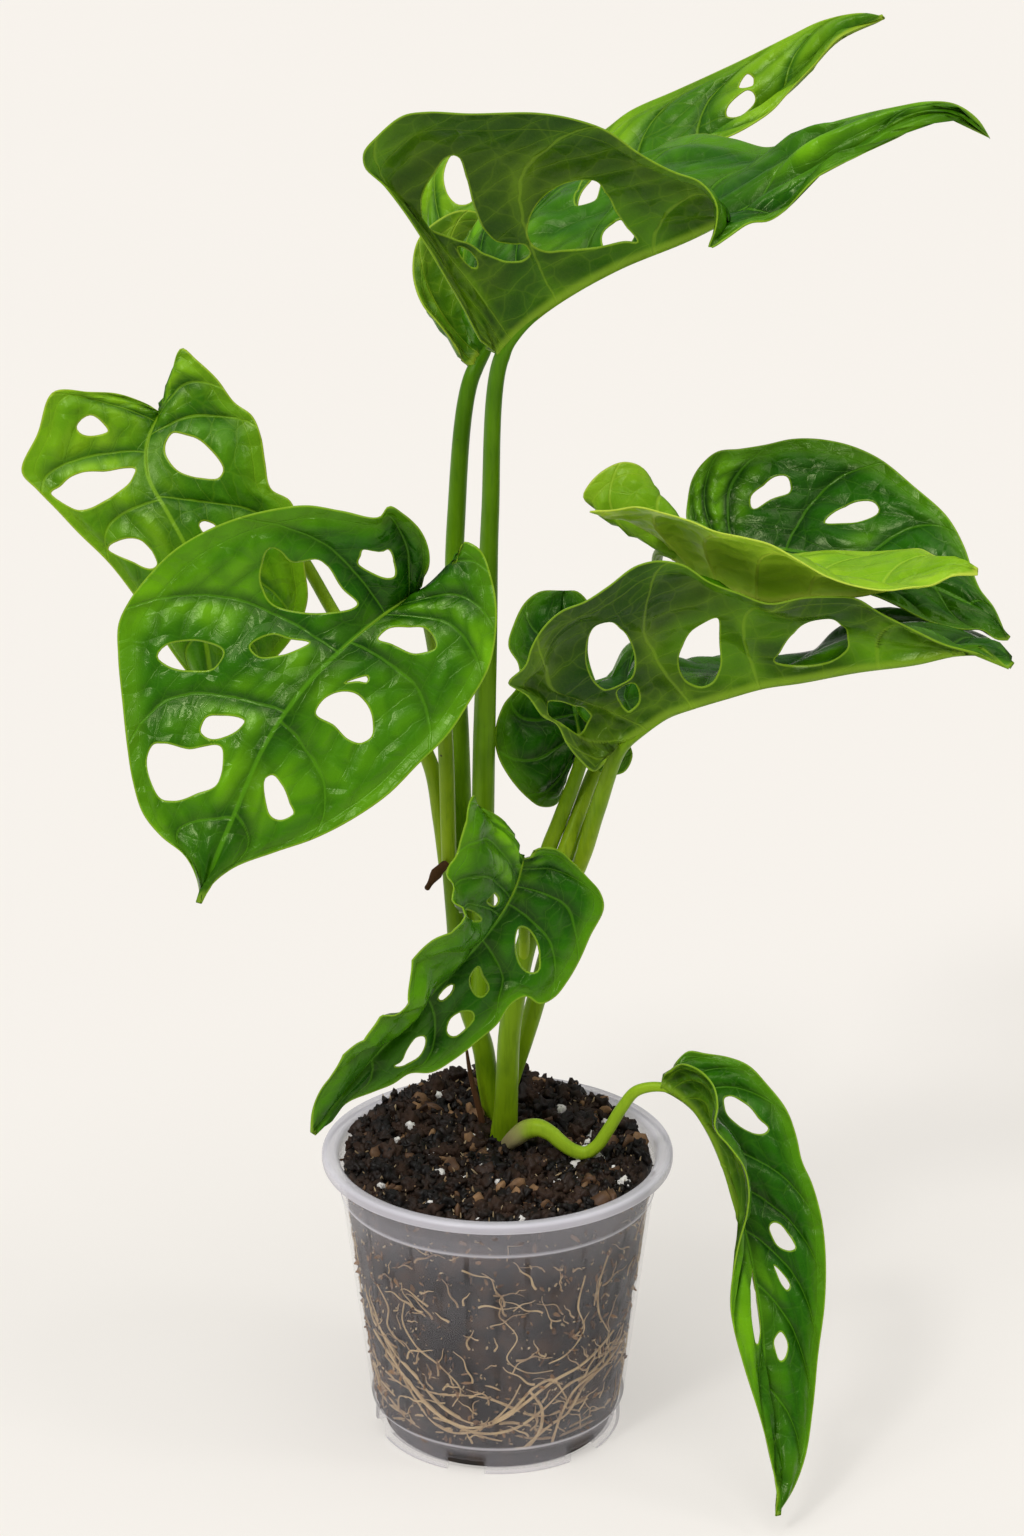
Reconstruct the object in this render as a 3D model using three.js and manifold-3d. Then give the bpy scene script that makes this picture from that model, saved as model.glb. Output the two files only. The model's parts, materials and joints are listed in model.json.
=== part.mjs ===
// A swiss cheese plant in a clear nursery pot: ten holed leaves on ten petioles and three stems.
// Millimetres, +Z up. The origin is the middle of the pot's flat bottom, and the plant is seen from -Y.

import * as THREE from 'three';
import { mergeVertices } from 'three/addons/utils/BufferGeometryUtils.js';
import Module from 'manifold-3d';

const wasm = await Module();
wasm.setup();

// Driving dimensions
const POT_HEIGHT = 103;
const RIM_RADIUS = 60;
const RIM_SKIRT = 3.2;
const WALL_TOP_RADIUS = 54.9;
const FOOT_STEP_RADIUS = 43.7;
const FOOT_RADIUS = 42.7;
const FOOT_HEIGHT = 8;
const WALL = 1.1;
const POT_SIDES = 40;
const RING_BELOW_RIM = 9.5;
const DRAIN_NOTCHES = 6;
const NOTCH_WIDTH = 13;
const NOTCH_HEIGHT = 5;
const GAP = 0.3;
const ROOT_SPACE = 2.5;
const ROOT_RADIUS = 0.75;
const SOIL_MIDDLE = 102;
const SOIL_SLOPE = 0.05;
const SOIL_HEAP = 0.0022;
const LEAF_THICKNESS = 0.8;
const MIDRIB_DEPTH = 1.3;
const RIB_CROWDING = 1.6;
const VEIN_SWEEP = 0.1;
const OUTLINE_STEP = 9;
const STALK_SIDES = 8;
const SPECK = 0.03;

// The view from the front, a little from above. Points of leaves and stalks are [across, up, near]:
// across and up as seen on a plane through the middle of the rim, near in front of the pot's axis.
const VIEW_PITCH = 20.5;
const VIEW_DISTANCE = 1400;
const VIEW_ACROSS = 4.96;
const VIEW_UP = 129.57;

const pitch = THREE.MathUtils.degToRad(VIEW_PITCH);
const viewRight = new THREE.Vector3(1, 0, 0);
const viewUp = new THREE.Vector3(0, Math.sin(pitch), Math.cos(pitch));
const viewAhead = new THREE.Vector3(0, Math.cos(pitch), -Math.sin(pitch));
const eye = new THREE.Vector3(0, 0, POT_HEIGHT)
  .addScaledVector(viewRight, VIEW_ACROSS)
  .addScaledVector(viewUp, VIEW_UP)
  .addScaledVector(viewAhead, -VIEW_DISTANCE);

function seen([across, up, near]) {
  const ray = new THREE.Vector3()
    .addScaledVector(viewRight, across - VIEW_ACROSS)
    .addScaledVector(viewUp, up - VIEW_UP)
    .addScaledVector(viewAhead, VIEW_DISTANCE);
  return eye.clone().addScaledVector(ray, (-near - eye.y) / ray.y);
}

function view(point) {
  const ray = point.clone().sub(eye);
  const scale = VIEW_DISTANCE / ray.dot(viewAhead);
  return [VIEW_ACROSS + ray.dot(viewRight) * scale, VIEW_UP + ray.dot(viewUp) * scale];
}

// Leaves. The rib runs from the petiole to the tip, left and right are the leaf's own margins seen from
// above with the tip ahead, each from the petiole round its lobe to the tip. A cup sinks the middle of
// each half (left, right) at base, middle and tip. Holes are outlines as seen from the front.
const LEAVES = {
  leaf_left_front: {
    rib: [[-28, 189, 16], [-38, 182.5, 22], [-54.5, 169, 32], [-68.5, 154, 40], [-80, 136.5, 46],
      [-89, 116, 51], [-96.5, 98, 55], [-101.2, 82.8, 58]],
    left: [[-25.5, 189, 18], [-18.7, 193.2, 20], [-14, 199.5, 21], [-11.7, 206.7, 21], [-6.5, 204.5, 22],
      [-2, 194, 26], [-0.3, 182.5, 31], [-3, 164, 36], [-9.5, 152.5, 39], [-17, 141, 42], [-27, 131, 45],
      [-37.5, 120.5, 48], [-50, 112, 51], [-63, 105.5, 53], [-76, 101, 54], [-91, 95, 56],
      [-97.5, 89.5, 58], [-101.2, 82.8, 58]],
    right: [[-27.6, 192, 16], [-23.8, 197, 19], [-23.4, 203, 22], [-26, 210, 25], [-32, 216, 29],
      [-37, 218.5, 33], [-40, 215, 32], [-53.5, 217, 28], [-65, 219, 26], [-76, 218, 24], [-89, 215, 21],
      [-100, 210.5, 18], [-110.5, 204, 17], [-119, 195.5, 18], [-125.5, 187, 20], [-129.3, 179, 22],
      [-129.5, 168, 26], [-128, 151.5, 33], [-126.5, 137.5, 39], [-124.5, 125, 44], [-121, 114, 48],
      [-115, 106.5, 51], [-107, 100, 54], [-103, 92.5, 56], [-101.2, 82.8, 58]],
    cup: [[0.1, 0.12, 0.08], [0.12, 0.12, 0.08]],
    holes: {
      left: [
        [[-41, 173.5], [-38, 176.5], [-30, 177.5], [-24, 177], [-20.5, 170.5], [-25, 168.5], [-29, 168.3],
          [-36, 171.5]],
        [[-52.6, 158.6], [-48, 160.3], [-44.2, 160.8], [-44.6, 158.8], [-48, 159]],
        [[-62.5, 149], [-60, 153], [-55, 155.5], [-49.5, 155.5], [-45, 152], [-42.5, 145], [-43, 140],
          [-46, 138.2], [-51, 139.2], [-56, 144]],
        [[-79.5, 126.5], [-77.5, 127.5], [-74, 124.5], [-71, 118], [-70, 113.5], [-73, 112], [-78, 114]],
      ],
      right: [
        [[-46.5, 203], [-45, 205], [-38.5, 205], [-36.5, 196], [-41, 196.5], [-47, 199]],
        [[-80, 200], [-77, 205.5], [-74, 204.5], [-69, 200.5], [-62, 201.5], [-58, 199], [-53, 191],
          [-48, 185.3], [-50, 183.8], [-62, 182.3], [-76, 185], [-80, 191]],
        [[-116, 167.5], [-113, 171.5], [-107, 173], [-100, 172.5], [-93, 168.5], [-96, 163.5],
          [-105, 162.5], [-113, 164.5]],
        [[-84, 171], [-77, 175], [-71, 173.5], [-64, 172.2], [-70, 168.6], [-80, 166.7]],
        [[-101, 142], [-99.5, 146], [-94, 147.3], [-86, 145], [-88.5, 142], [-95, 139], [-99.5, 140]],
        [[-120, 132], [-118, 137], [-114, 137.8], [-105, 136], [-93, 135.5], [-94.5, 125], [-103, 120.5],
          [-111, 118.2], [-116, 120]],
      ],
    },
  },
  leaf_left_back: {
    rib: [[-115, 251, -42], [-119.6, 241, -34], [-119.6, 230, -27], [-112, 215.5, -18], [-106, 204, -14],
      [-101, 180, -10], [-96, 150, -12]],
    left: [[-114, 252, -42], [-112.5, 260, -43], [-108, 273, -45], [-103, 269, -43], [-96, 262.5, -41],
      [-90, 254.5, -39], [-84, 250, -37], [-81, 243, -34], [-79.5, 234, -31], [-77.5, 225, -28],
      [-71, 221, -27], [-68, 212, -25], [-66, 198, -22], [-65, 187, -20], [-69, 176, -17],
      [-80, 163, -14], [-96, 150, -12]],
    right: [[-116, 252, -42], [-121, 254.5, -41], [-130, 257.5, -39], [-140, 258, -36],
      [-151.5, 258, -34], [-157, 244, -32], [-162.4, 230.5, -30], [-157, 224.5, -28], [-150, 217.5, -26],
      [-143, 210, -24], [-133, 200, -20], [-124.5, 189, -17], [-117, 178, -14], [-109, 166, -13],
      [-96, 150, -12]],
    cup: [[0.06, 0.08, 0.06], [0.06, 0.08, 0.06]],
    holes: {
      left: [
        [[-113.5, 240], [-111, 244], [-106, 243], [-98, 238], [-93.5, 231.5], [-95, 228.5], [-101, 228],
          [-109, 230], [-113.5, 236]],
        [[-102.5, 212], [-100, 214], [-96.5, 212.5], [-97, 210], [-101, 209.5]],
      ],
      right: [
        [[-144, 246.2], [-139.5, 250.3], [-136.5, 249], [-133, 244.5], [-138, 243], [-142.5, 244]],
        [[-152.5, 223], [-149, 226], [-142, 230.5], [-133, 231], [-123.5, 231.5], [-125, 227],
          [-135, 220], [-144.5, 218]],
        [[-133, 204], [-130, 207], [-120, 207], [-115.5, 200], [-117, 198], [-126, 201]],
      ],
    },
  },
  leaf_top_front: {
    rib: [[-0.3, 271, -3], [4.5, 277, -1], [12, 283.7, 1], [22, 290.8, 3], [41, 301.2, 6], [66, 311.3, 9],
      [92, 324.5, 12], [120, 339, 15], [147, 353.2, 16], [160, 352, 17], [168.6, 344.5, 17]],
    left: [[0.6, 272.5, -6], [-3, 284, -12], [-12, 303, -26], [-8, 315, -36], [1, 324, -44],
      [12, 330, -50], [30, 335, -54], [48, 338, -52], [60, 344, -46], [68.8, 345.8, -40],
      [80.5, 344, -32], [92, 341, -22], [99, 343, -14], [106.8, 347.7, -8], [121.4, 352.8, 2],
      [136, 356, 10], [147.7, 357.5, 14], [156.5, 356.5, 16], [164, 351.5, 17], [168.6, 344.5, 17]],
    right: [[-3, 271, -1], [-6.8, 277, 3], [-11.8, 286.5, 7], [-19, 298.7, 13], [-32, 319, 20],
      [-39, 328, 24], [-45.8, 335, 26], [-46, 340, 27], [-41.5, 345.5, 28], [-32, 352.8, 28],
      [-24.7, 353.8, 28], [-10, 353, 28], [14.8, 352.8, 27], [26.4, 350.6, 27], [36.7, 347, 26],
      [48.3, 339, 25], [60, 333, 24], [69.5, 329.5, 25], [75, 322, 28], [74.5, 313, 30],
      [72.5, 307.4, 30], [78, 310.8, 29], [86.4, 316.2, 27], [92.2, 316.5, 26], [98, 320, 24],
      [102.5, 325, 22], [109, 331.6, 21], [121.5, 338, 20], [136, 344.5, 18], [150.7, 351.5, 17],
      [162, 349.3, 17], [168.6, 344.5, 17]],
    cup: [[-0.12, -0.12, -0.04], [-0.1, -0.1, -0.04]],
    holes: {
      left: [
        [[28.5, 319], [29.5, 325], [33, 329.5], [37, 328], [33.5, 321]],
        [[37, 306.5], [38, 312], [42.5, 315], [47, 309.5], [44, 306.5]],
      ],
      right: [
        [[-26, 321], [-24.2, 328], [-20.5, 333.3], [-17, 337], [-14.3, 337.6], [-10.5, 331], [-7.3, 320],
          [-4, 313], [0, 309.8], [5, 309], [9.5, 309], [11.3, 306], [8.5, 302.6], [5, 302], [0, 303],
          [-5, 305.2], [-10, 308.4], [-14.5, 310], [-20, 312.2], [-24.2, 315.2]],
        [[16.5, 306], [12, 309], [10.2, 313], [12, 320], [17.5, 325.5], [25, 328.6], [33, 328.4],
          [37, 324], [41, 317], [47.5, 309], [44, 309], [37, 307.5], [29, 306.3], [22, 305.8]],
        [[-13.4, 306.8], [-11.5, 303], [-8.6, 300], [-6.5, 299.8], [-7, 302.6], [-9.5, 305.6]],
      ],
    },
  },
  leaf_top_back: {
    rib: [[-9.8, 266.5, -22], [-4, 273, -26], [8, 289, -38], [32, 312, -54], [60, 335, -64],
      [74, 344.8, -66], [84, 350.5, -67], [96, 358.8, -68], [106, 367.5, -68], [116, 378, -68],
      [133, 386, -66]],
    left: [[-9.4, 269.5, -25], [-14, 284, -38], [-22, 300, -50], [-26, 318, -60], [-26, 332, -67],
      [-20, 341, -72], [-10, 345, -77], [2, 344, -82], [16, 341, -86], [35, 346, -89], [45.4, 353.5, -88],
      [60, 360.4, -88], [80, 370.3, -84], [100, 380.2, -78], [111, 385, -74], [125.8, 387.4, -69],
      [133, 386, -66]],
    right: [[-12, 268.5, -21], [-13.6, 272.5, -19], [-20, 281, -19], [-26, 288, -23], [-29.3, 299, -31],
      [-27.3, 310, -38], [-20, 317, -44], [-13, 320, -47], [-4, 319, -50], [12, 317.5, -53],
      [36, 319, -56], [56, 333, -57], [70, 342.5, -55], [80, 346.2, -55], [88, 350.5, -57],
      [94, 354.7, -59], [100, 361.5, -61], [107, 369, -63], [117, 379.8, -65], [133, 386, -66]],
    cup: [[-0.1, -0.1, -0.05], [-0.1, -0.1, -0.05]],
    holes: {
      left: [
        [[78.8, 351.5], [79.8, 355], [85.5, 359.8], [88.2, 359.6], [88, 356], [84, 352.6]],
        [[83, 361.3], [85.8, 365.8], [88.2, 364.8], [88.2, 361.6]],
        [[28, 318.5], [29.3, 326], [33, 330.5], [38, 330], [37, 323], [33, 319.5]],
        [[-18, 334], [-17.2, 326], [-13.2, 320.8], [-8, 322.6], [-5, 331], [-9, 339], [-15, 340]],
      ],
      right: [],
    },
  },
  leaf_right_back: {
    rib: [[72, 206, -44], [84, 206, -42], [100, 204, -37], [125, 199, -26], [145, 193, -15],
      [160, 186, -7], [169, 180, -2], [174.6, 173.2, 2]],
    left: [[70, 208, -46], [65, 213.5, -50], [65, 221, -54], [66.5, 228, -57], [69.9, 233.4, -60],
      [75, 237.5, -62], [83, 238.5, -64], [92, 240, -65], [100, 241.8, -65], [108.3, 242, -63],
      [119.4, 240, -59], [130, 235.4, -53], [142.7, 225.3, -42], [153.8, 215.2, -31], [159.5, 205, -22],
      [162, 198, -17], [164.8, 191, -11], [170, 184, -4], [174.6, 173.2, 2]],
    right: [[72, 204, -43], [70, 198, -42], [73, 190, -38], [84, 186, -30], [102, 186.5, -20],
      [115, 189.5, -14], [127.5, 188.4, -8], [137.6, 184.8, -2], [147.7, 179.8, 3], [158.9, 177, 5],
      [166, 177, 5], [171, 173.8, 4], [174.6, 173.2, 2]],
    cup: [[0.08, 0.1, 0.06], [0.08, 0.1, 0.06]],
    holes: {
      left: [
        [[86.5, 221.5], [90, 224.5], [95, 228], [99, 228.3], [100.7, 225.5], [100, 222.5], [94, 220],
          [87.5, 217]],
        [[112, 212.8], [118, 218], [124, 220], [129, 219.7], [130.8, 217.5], [129, 215], [122, 212.5]],
      ],
      right: [],
    },
  },
  leaf_right_young: {
    rib: [[58, 204.5, -14], [65, 199, -8], [74, 193, -2], [84, 190, 3], [93, 187, 7], [103, 188.5, 11],
      [113, 188.6, 14], [124, 189, 17], [135, 191.5, 20], [147, 194.5, 23], [156, 197, 26],
      [164.5, 195.5, 28]],
    left: [[57, 206.5, -16], [53, 212, -16], [42, 216.5, -18], [32, 219, -18], [29.3, 222, -18],
      [31, 226, -18], [36.6, 231.4, -20], [43.2, 234, -20], [48.7, 232.6, -20], [51.8, 229, -20],
      [55, 217, -20], [63, 208, -20], [76, 203, -20], [88, 202, -19], [101, 202, -18],
      [112.4, 203.5, -16], [127.6, 203.8, -12], [137.7, 204.8, -6], [144.3, 205, 2], [150, 202, 12],
      [155, 201, 20], [164.5, 195.5, 28]],
    right: [[56.5, 205.5, -12], [53, 211, -6], [46, 215, 2], [38, 217, 8], [31.5, 217.8, 12],
      [39.6, 218.2, 16], [47.7, 219, 20], [55.8, 216.7, 24], [65.9, 213.2, 28], [74, 209.6, 31],
      [84, 207.6, 34], [93, 205.6, 36], [102.3, 201, 38], [112.4, 195.5, 39], [122.6, 192, 38],
      [133.7, 190.4, 37], [141, 191.5, 36], [147.9, 192.4, 34], [155, 195.5, 31], [164.5, 195.5, 28]],
    cup: [[-0.08, -0.08, -0.04], [-0.12, -0.12, -0.04]],
    holes: { left: [], right: [] },
  },
  leaf_right_front: {
    rib: [[42, 139, 8], [50, 143.5, 9], [58, 148.4, 10], [66.6, 151.2, 12], [77.7, 154.3, 14],
      [91.7, 158, 16], [103.4, 159.6, 18], [122.6, 163, 22], [142.8, 165.5, 26], [158, 168.5, 28],
      [168, 168, 29], [175.3, 163, 30]],
    left: [[42, 141, 5], [36, 142, -3], [29, 146, -14], [26.5, 152, -24], [31, 158.5, -32],
      [38, 161, -37], [44, 171, -41], [52, 175, -43], [58, 170, -44], [64, 163.5, -43], [76, 162, -42],
      [95, 166, -40], [108, 168.5, -37], [117, 172, -35], [124, 179, -33], [131, 183, -31],
      [139, 182.7, -27], [146, 181.5, -23], [153, 180, -17], [160, 178, -9], [168, 174, 5],
      [172, 170, 16], [175.3, 163, 30]],
    right: [[40, 138, 10], [36, 130.5, 12], [33, 128.5, 13], [28, 132.5, 14], [23.5, 138, 16],
      [20, 144.5, 18], [15.5, 147, 20], [10, 154, 23], [3.5, 158.8, 25], [9.4, 165, 27], [11.5, 171, 28],
      [16, 178, 29], [22, 183, 30], [30, 186, 30], [38, 191, 30], [47.7, 198, 30], [55, 199.7, 30],
      [63, 198.5, 30], [72, 193, 30], [82, 189.5, 30], [93, 186, 30], [104, 188, 30], [114, 188.4, 30],
      [122.6, 187.6, 30], [130.7, 182.8, 30], [142.8, 176.8, 30], [153, 172.2, 30], [165, 168.8, 30],
      [175.3, 163, 30]],
    cup: [[-0.12, -0.12, -0.04], [-0.1, -0.12, -0.04]],
    holes: {
      left: [],
      right: [
        [[30.5, 165], [31.5, 172.5], [34.5, 177.3], [38, 178.5], [43, 175.5], [46, 171], [47, 166],
          [45.5, 160.5], [38, 157], [33, 159.5]],
        [[41, 156], [42, 151.5], [45, 148.5], [48, 150.5], [48.5, 155], [46.5, 158.4]],
        [[62, 166], [65, 172], [70, 177], [74.5, 180], [76, 170], [76, 163], [73.5, 158.5], [69.5, 157],
          [65, 158.5], [62.5, 162]],
        [[95, 165], [96.5, 169], [101, 174], [107, 178.5], [113, 180.5], [118, 178], [119.5, 173],
          [119, 168.5], [114, 165.5], [104, 163.8]],
        [[17, 148], [18.5, 152], [22, 152], [26, 150.5], [31, 148.5], [33, 146], [31.5, 142.5], [29, 141],
          [25, 142.5], [21, 145]],
      ],
    },
  },
  leaf_right_inner: {
    rib: [[29, 136, -16], [27, 146, -28], [24.5, 158, -40], [22.5, 170, -49], [21.5, 181, -57],
      [22, 190, -62]],
    left: [[27.5, 136, -17.5], [24, 126, -20], [20, 117, -19], [15, 116.5, -16], [10, 119.8, -13],
      [4.5, 126, -12], [0.3, 133.7, -13], [-0.8, 140.7, -16], [2, 151, -22], [7, 158, -27], [7, 165, -33],
      [4, 171, -38], [6, 179, -45], [10, 186.5, -52], [14, 189.5, -56], [22, 190, -62]],
    right: [[30.5, 136, -18], [36, 127.5, -19], [43, 128, -16], [46, 134, -16], [42, 143, -24],
      [37, 151, -34], [33, 160, -44], [31, 169, -51], [31.5, 178, -56], [31, 186, -59], [27, 190, -61],
      [22, 190, -62]],
    cup: [[-0.08, -0.1, -0.05], [-0.08, -0.1, -0.05]],
    holes: { left: [], right: [] },
  },
  leaf_low_front: {
    rib: [[8.5, 98.5, 20], [7, 91, 22], [3.2, 82.7, 25], [-1.6, 75.5, 28], [-8, 68, 31], [-14.5, 61, 34],
      [-21.8, 53.6, 37], [-27, 47, 39], [-38.7, 35, 43], [-45, 28.6, 46], [-53, 19.7, 49],
      [-64, 4.7, 54]],
    left: [[10, 99.5, 19], [12.9, 100.8, 18], [17.7, 102, 16], [21.5, 101, 14], [25.8, 97.3, 13],
      [30.6, 92.4, 12], [35, 87.2, 13], [36.3, 82.5, 14], [31.5, 72, 17], [28, 64, 20], [24, 57, 23],
      [19.4, 51.3, 26], [14.5, 49, 28], [9, 51.5, 30], [4, 48.4, 32], [0, 42.4, 34], [-6.5, 36.7, 36],
      [-14.5, 30.3, 38], [-22.6, 25.5, 40], [-29.8, 25, 41], [-35.5, 21.4, 43], [-42.7, 18.5, 45],
      [-51.6, 15, 48], [-58, 8.5, 51], [-64, 4.7, 54]],
    right: [[7, 100, 21], [4.8, 102.5, 23], [4.2, 106, 25], [0, 113.4, 29], [-4, 117.4, 32],
      [-6.8, 120.4, 35], [-9.7, 118, 38], [-11.7, 113.4, 40], [-12.8, 106, 42], [-13.5, 99, 44],
      [-15.3, 95, 46], [-13.8, 90, 47], [-15.7, 83.5, 49], [-13, 80, 50], [-17.7, 76, 51],
      [-22.6, 72, 53], [-25.4, 67.4, 54], [-27.6, 61, 55], [-32, 52, 56], [-35, 44.5, 57],
      [-40, 41.5, 57], [-46, 38.3, 57], [-51.6, 31, 57], [-59, 21.4, 56], [-63, 12.5, 55],
      [-64, 4.7, 54]],
    cup: [[0.08, 0.08, 0.04], [-0.12, -0.12, -0.04]],
    holes: {
      left: [
        [[5, 72], [6.5, 75.5], [9.5, 75], [11.5, 73], [13.5, 65], [13, 61], [10.5, 60], [6.5, 63.5]],
        [[-9.9, 59], [-7.5, 62], [-5.5, 59], [-3.5, 53.5], [-5, 52], [-8.3, 53]],
        [[-20.5, 51], [-17.5, 55], [-15.5, 56], [-16.5, 53], [-19.5, 50.3]],
        [[-17.5, 40], [-16.5, 43.5], [-13, 46.5], [-9, 46.5], [-8.3, 44], [-11, 41], [-14, 38.5]],
        [[-36, 28.8], [-34, 30], [-32, 34], [-29, 38], [-25.5, 38.5], [-25, 35], [-27.5, 31],
          [-32, 28.6]],
      ],
      right: [
        [[-3.5, 84.5], [-2, 87], [-0.5, 85.5], [-1.5, 82.5]],
        [[-12.5, 79.3], [-9, 80.5], [-5.5, 77.5], [-9.5, 77.3]],
      ],
    },
  },
  leaf_trailing: {
    rib: [[56, 22, 14], [61.5, 19, 17], [67.5, 14, 21], [73, 5.5, 26], [77.3, -4.7, 31],
      [80.9, -16.7, 36], [84, -27, 41], [87, -40, 46], [90, -58, 53], [91.5, -78, 61], [94, -97, 69],
      [96, -112, 76], [95, -126.5, 82]],
    left: [[58, 24, 12], [61, 29.5, 9], [65, 32.6, 8], [71, 32, 7], [79, 30.7, 8], [85.6, 28, 10],
      [92, 21.5, 13], [98.7, 12.8, 17], [102, 4, 21], [104, -4.7, 25], [107.4, -12.3, 29],
      [110.7, -24.3, 34], [112, -36.3, 39], [111.8, -52.7, 46], [109.6, -71, 54], [108, -88.7, 62],
      [105.2, -106, 71], [101, -117, 77], [95, -126.5, 82]],
    right: [[57, 24, 17], [60, 27.2, 20], [63.8, 28.6, 25], [70.3, 25.8, 31], [74.7, 20.4, 37],
      [75.9, 14, 41], [75, 6.5, 44], [79.5, 0.5, 47], [84.3, -7, 50], [85.6, -14.5, 52], [84.6, -23, 52],
      [82, -32, 52], [80.2, -42, 53], [79.6, -53.8, 56], [80.7, -61.4, 58], [84.5, -75.6, 63],
      [90, -93, 70], [94, -108, 76], [96, -119, 80], [95, -126.5, 82]],
    cup: [[0.08, 0.1, 0.05], [-0.12, -0.08, 0]],
    holes: {
      left: [
        [[76.8, 14], [77.3, 16.5], [80, 17], [85, 14], [89, 9], [92, 6.5], [91, 4.5], [88, 4], [82, 6.5],
          [78, 10]],
        [[92.5, -28], [94, -25.8], [97, -27], [101.5, -34], [100, -35.5], [95, -33]],
        [[94, -40.5], [97, -43], [99.8, -47], [98.5, -49], [96, -46]],
        [[93.6, -67], [94.6, -64], [96.4, -63.2], [98.5, -67], [97.5, -71.5], [95, -72.5]],
      ],
      right: [
        [[84.8, -48], [86, -41], [86.9, -44], [88, -50], [88.8, -58], [88.6, -67], [87.3, -66],
          [85.5, -57]],
      ],
    },
  },
};

// Stalks from the bottom up: [across, up, near, radius]
const STEMS = {
  stem_left: [[0, -8, -22, 3.2], [-1, 8, -23, 3.5], [-3.2, 22, -22, 3.7], [-5.2, 35, -20, 3.7],
    [-9.5, 47, -19, 3.5], [-12.8, 62, -18.5, 3.3], [-14.5, 80, -18, 3.2], [-16, 97, -18, 3.1]],
  stem_front: [[2, -10, -7, 3.8], [2, 2, -6, 4.3], [2.8, 12, -4.5, 4], [3.3, 24, -3, 3.8],
    [4.2, 40, -1.5, 3.7], [9.5, 68, 0, 3.5], [14, 82, -1, 3.4], [18, 93, -2, 3.2]],
  stem_back: [[0.5, -6, -21, 2.8], [1.5, 10, -20, 3], [4.5, 23, -17.5, 3.2], [8.9, 36.5, -15, 3.3],
    [12.8, 49, -13, 3.3], [17.3, 66, -11, 3.2], [22.5, 82, -9.5, 3], [27, 96, -8.5, 2.8]],
};
const PETIOLES = {
  petiole_left_front: ['leaf_left_front', [[-16.5, 96, -16, 2.6], [-17, 112, -15, 2.7],
    [-17.5, 130, -12, 2.7], [-18.8, 150, -6, 2.6], [-22.5, 172, 4, 2.4], [-27.4, 187.8, 15, 2.2]]],
  petiole_left_back: ['leaf_left_back', [[-17.5, 96, -20, 2.6], [-19.5, 112, -20, 2.7],
    [-23, 131, -19, 2.7], [-29, 143, -20, 2.6], [-40, 158, -25, 2.4], [-55, 181, -33, 2.2],
    [-66, 200, -40, 2.1], [-77, 216, -46, 2], [-87, 234, -50, 2], [-98, 247, -50, 2],
    [-106, 251.5, -48.6, 2], [-113.6, 251.6, -43.8, 1.9]]],
  petiole_top_front: ['leaf_top_front', [[-6.3, 47, -17, 3.2], [-5.2, 72, -15, 3.9],
    [-5.1, 105, -13, 3.9], [-4.6, 140, -12, 3.8], [-3.6, 175, -11, 3.4], [-2.6, 215, -10, 3],
    [-1.4, 248, -8, 2.9], [-0.4, 270.3, -3.4, 2.9]]],
  petiole_top_back: ['leaf_top_back', [[-9.5, 58, -22, 2.8], [-11, 80, -24, 3.3], [-12, 110, -25, 3.4],
    [-13, 140, -26, 3.4], [-14.6, 175, -27, 3.3], [-14.2, 213, -28, 3.1], [-12.6, 245, -27, 2.9],
    [-10.7, 265.6, -23.2, 2.6]]],
  petiole_right_front: ['leaf_right_front', [[27.5, 95, -8, 2.6], [30, 102, -6, 2.8],
    [34.3, 116, -1, 2.8], [37.8, 127, 3.2, 2.7], [41.1, 136.4, 7.1, 2.4]]],
  petiole_right_inner: ['leaf_right_inner', [[15.5, 92, -4, 2.5], [17.2, 101, -5.5, 2.7],
    [21, 111, -8.5, 2.6], [25.8, 123.5, -12, 2.5], [28.3, 132.6, -14.4, 2.4]]],
  petiole_right_young: ['leaf_right_young', [[19, 92, -3, 2.4], [22.8, 101, -5, 2.5], [28, 115, -12, 2.5],
    [33.5, 129, -23, 2.4], [42, 141, -33, 2.3], [50, 153, -43, 2.2], [54, 167, -50, 2.1],
    [55, 182, -48, 2], [55.5, 194, -37, 2], [57.9, 204.6, -14.5, 2]]],
  petiole_right_back: ['leaf_right_back', [[25.5, 94, -11, 2.4], [28, 102, -14, 2.5], [31, 114, -22, 2.5],
    [36, 129, -35, 2.4], [44, 142, -48, 2.3], [52, 156, -59, 2.2], [58, 170, -66, 2.2],
    [61.5, 183, -68, 2.1], [66.5, 196, -61, 2.1], [71.4, 204.9, -46, 2.1]]],
  petiole_low_front: ['leaf_low_front', [[9, 64, 1, 2], [9, 76, 6, 2.1], [9, 89, 13, 2.1],
    [8.5, 98.8, 20, 2]]],
  petiole_trailing: ['leaf_trailing', [[3.5, 1, -1, 2.6], [6.5, 3.6, 2.4, 3.2], [10, 6, 4.6, 3.4],
    [14, 6.6, 6.4, 3.1], [18, 4.8, 7.8, 2.7], [22, 1.4, 9, 2.5], [26, -1.2, 9.6, 2.4], [30, -2, 10, 2.3],
    [33.5, 0, 10.5, 2.2], [38, 6.2, 11, 2.1], [42.5, 13.4, 11.8, 2], [47.5, 19.2, 12.6, 1.9],
    [52, 21.8, 13.2, 1.8], [56, 22.8, 14, 1.6]]],
};
const DRY = {
  dry_stub: [[-18, 96.5, -12, 1.5], [-20.5, 94, -9.5, 1.7], [-22.5, 91, -8, 1.5], [-24, 88.6, -7, 1]],
  dry_sheath: [[-4, 2, -16.5, 1.1], [-6, 12, -15, 1.1], [-8.5, 21.4, -14, 1], [-9.8, 28, -13.5, 0.8],
    [-10.5, 33, -13, 0.5]],
};

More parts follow.
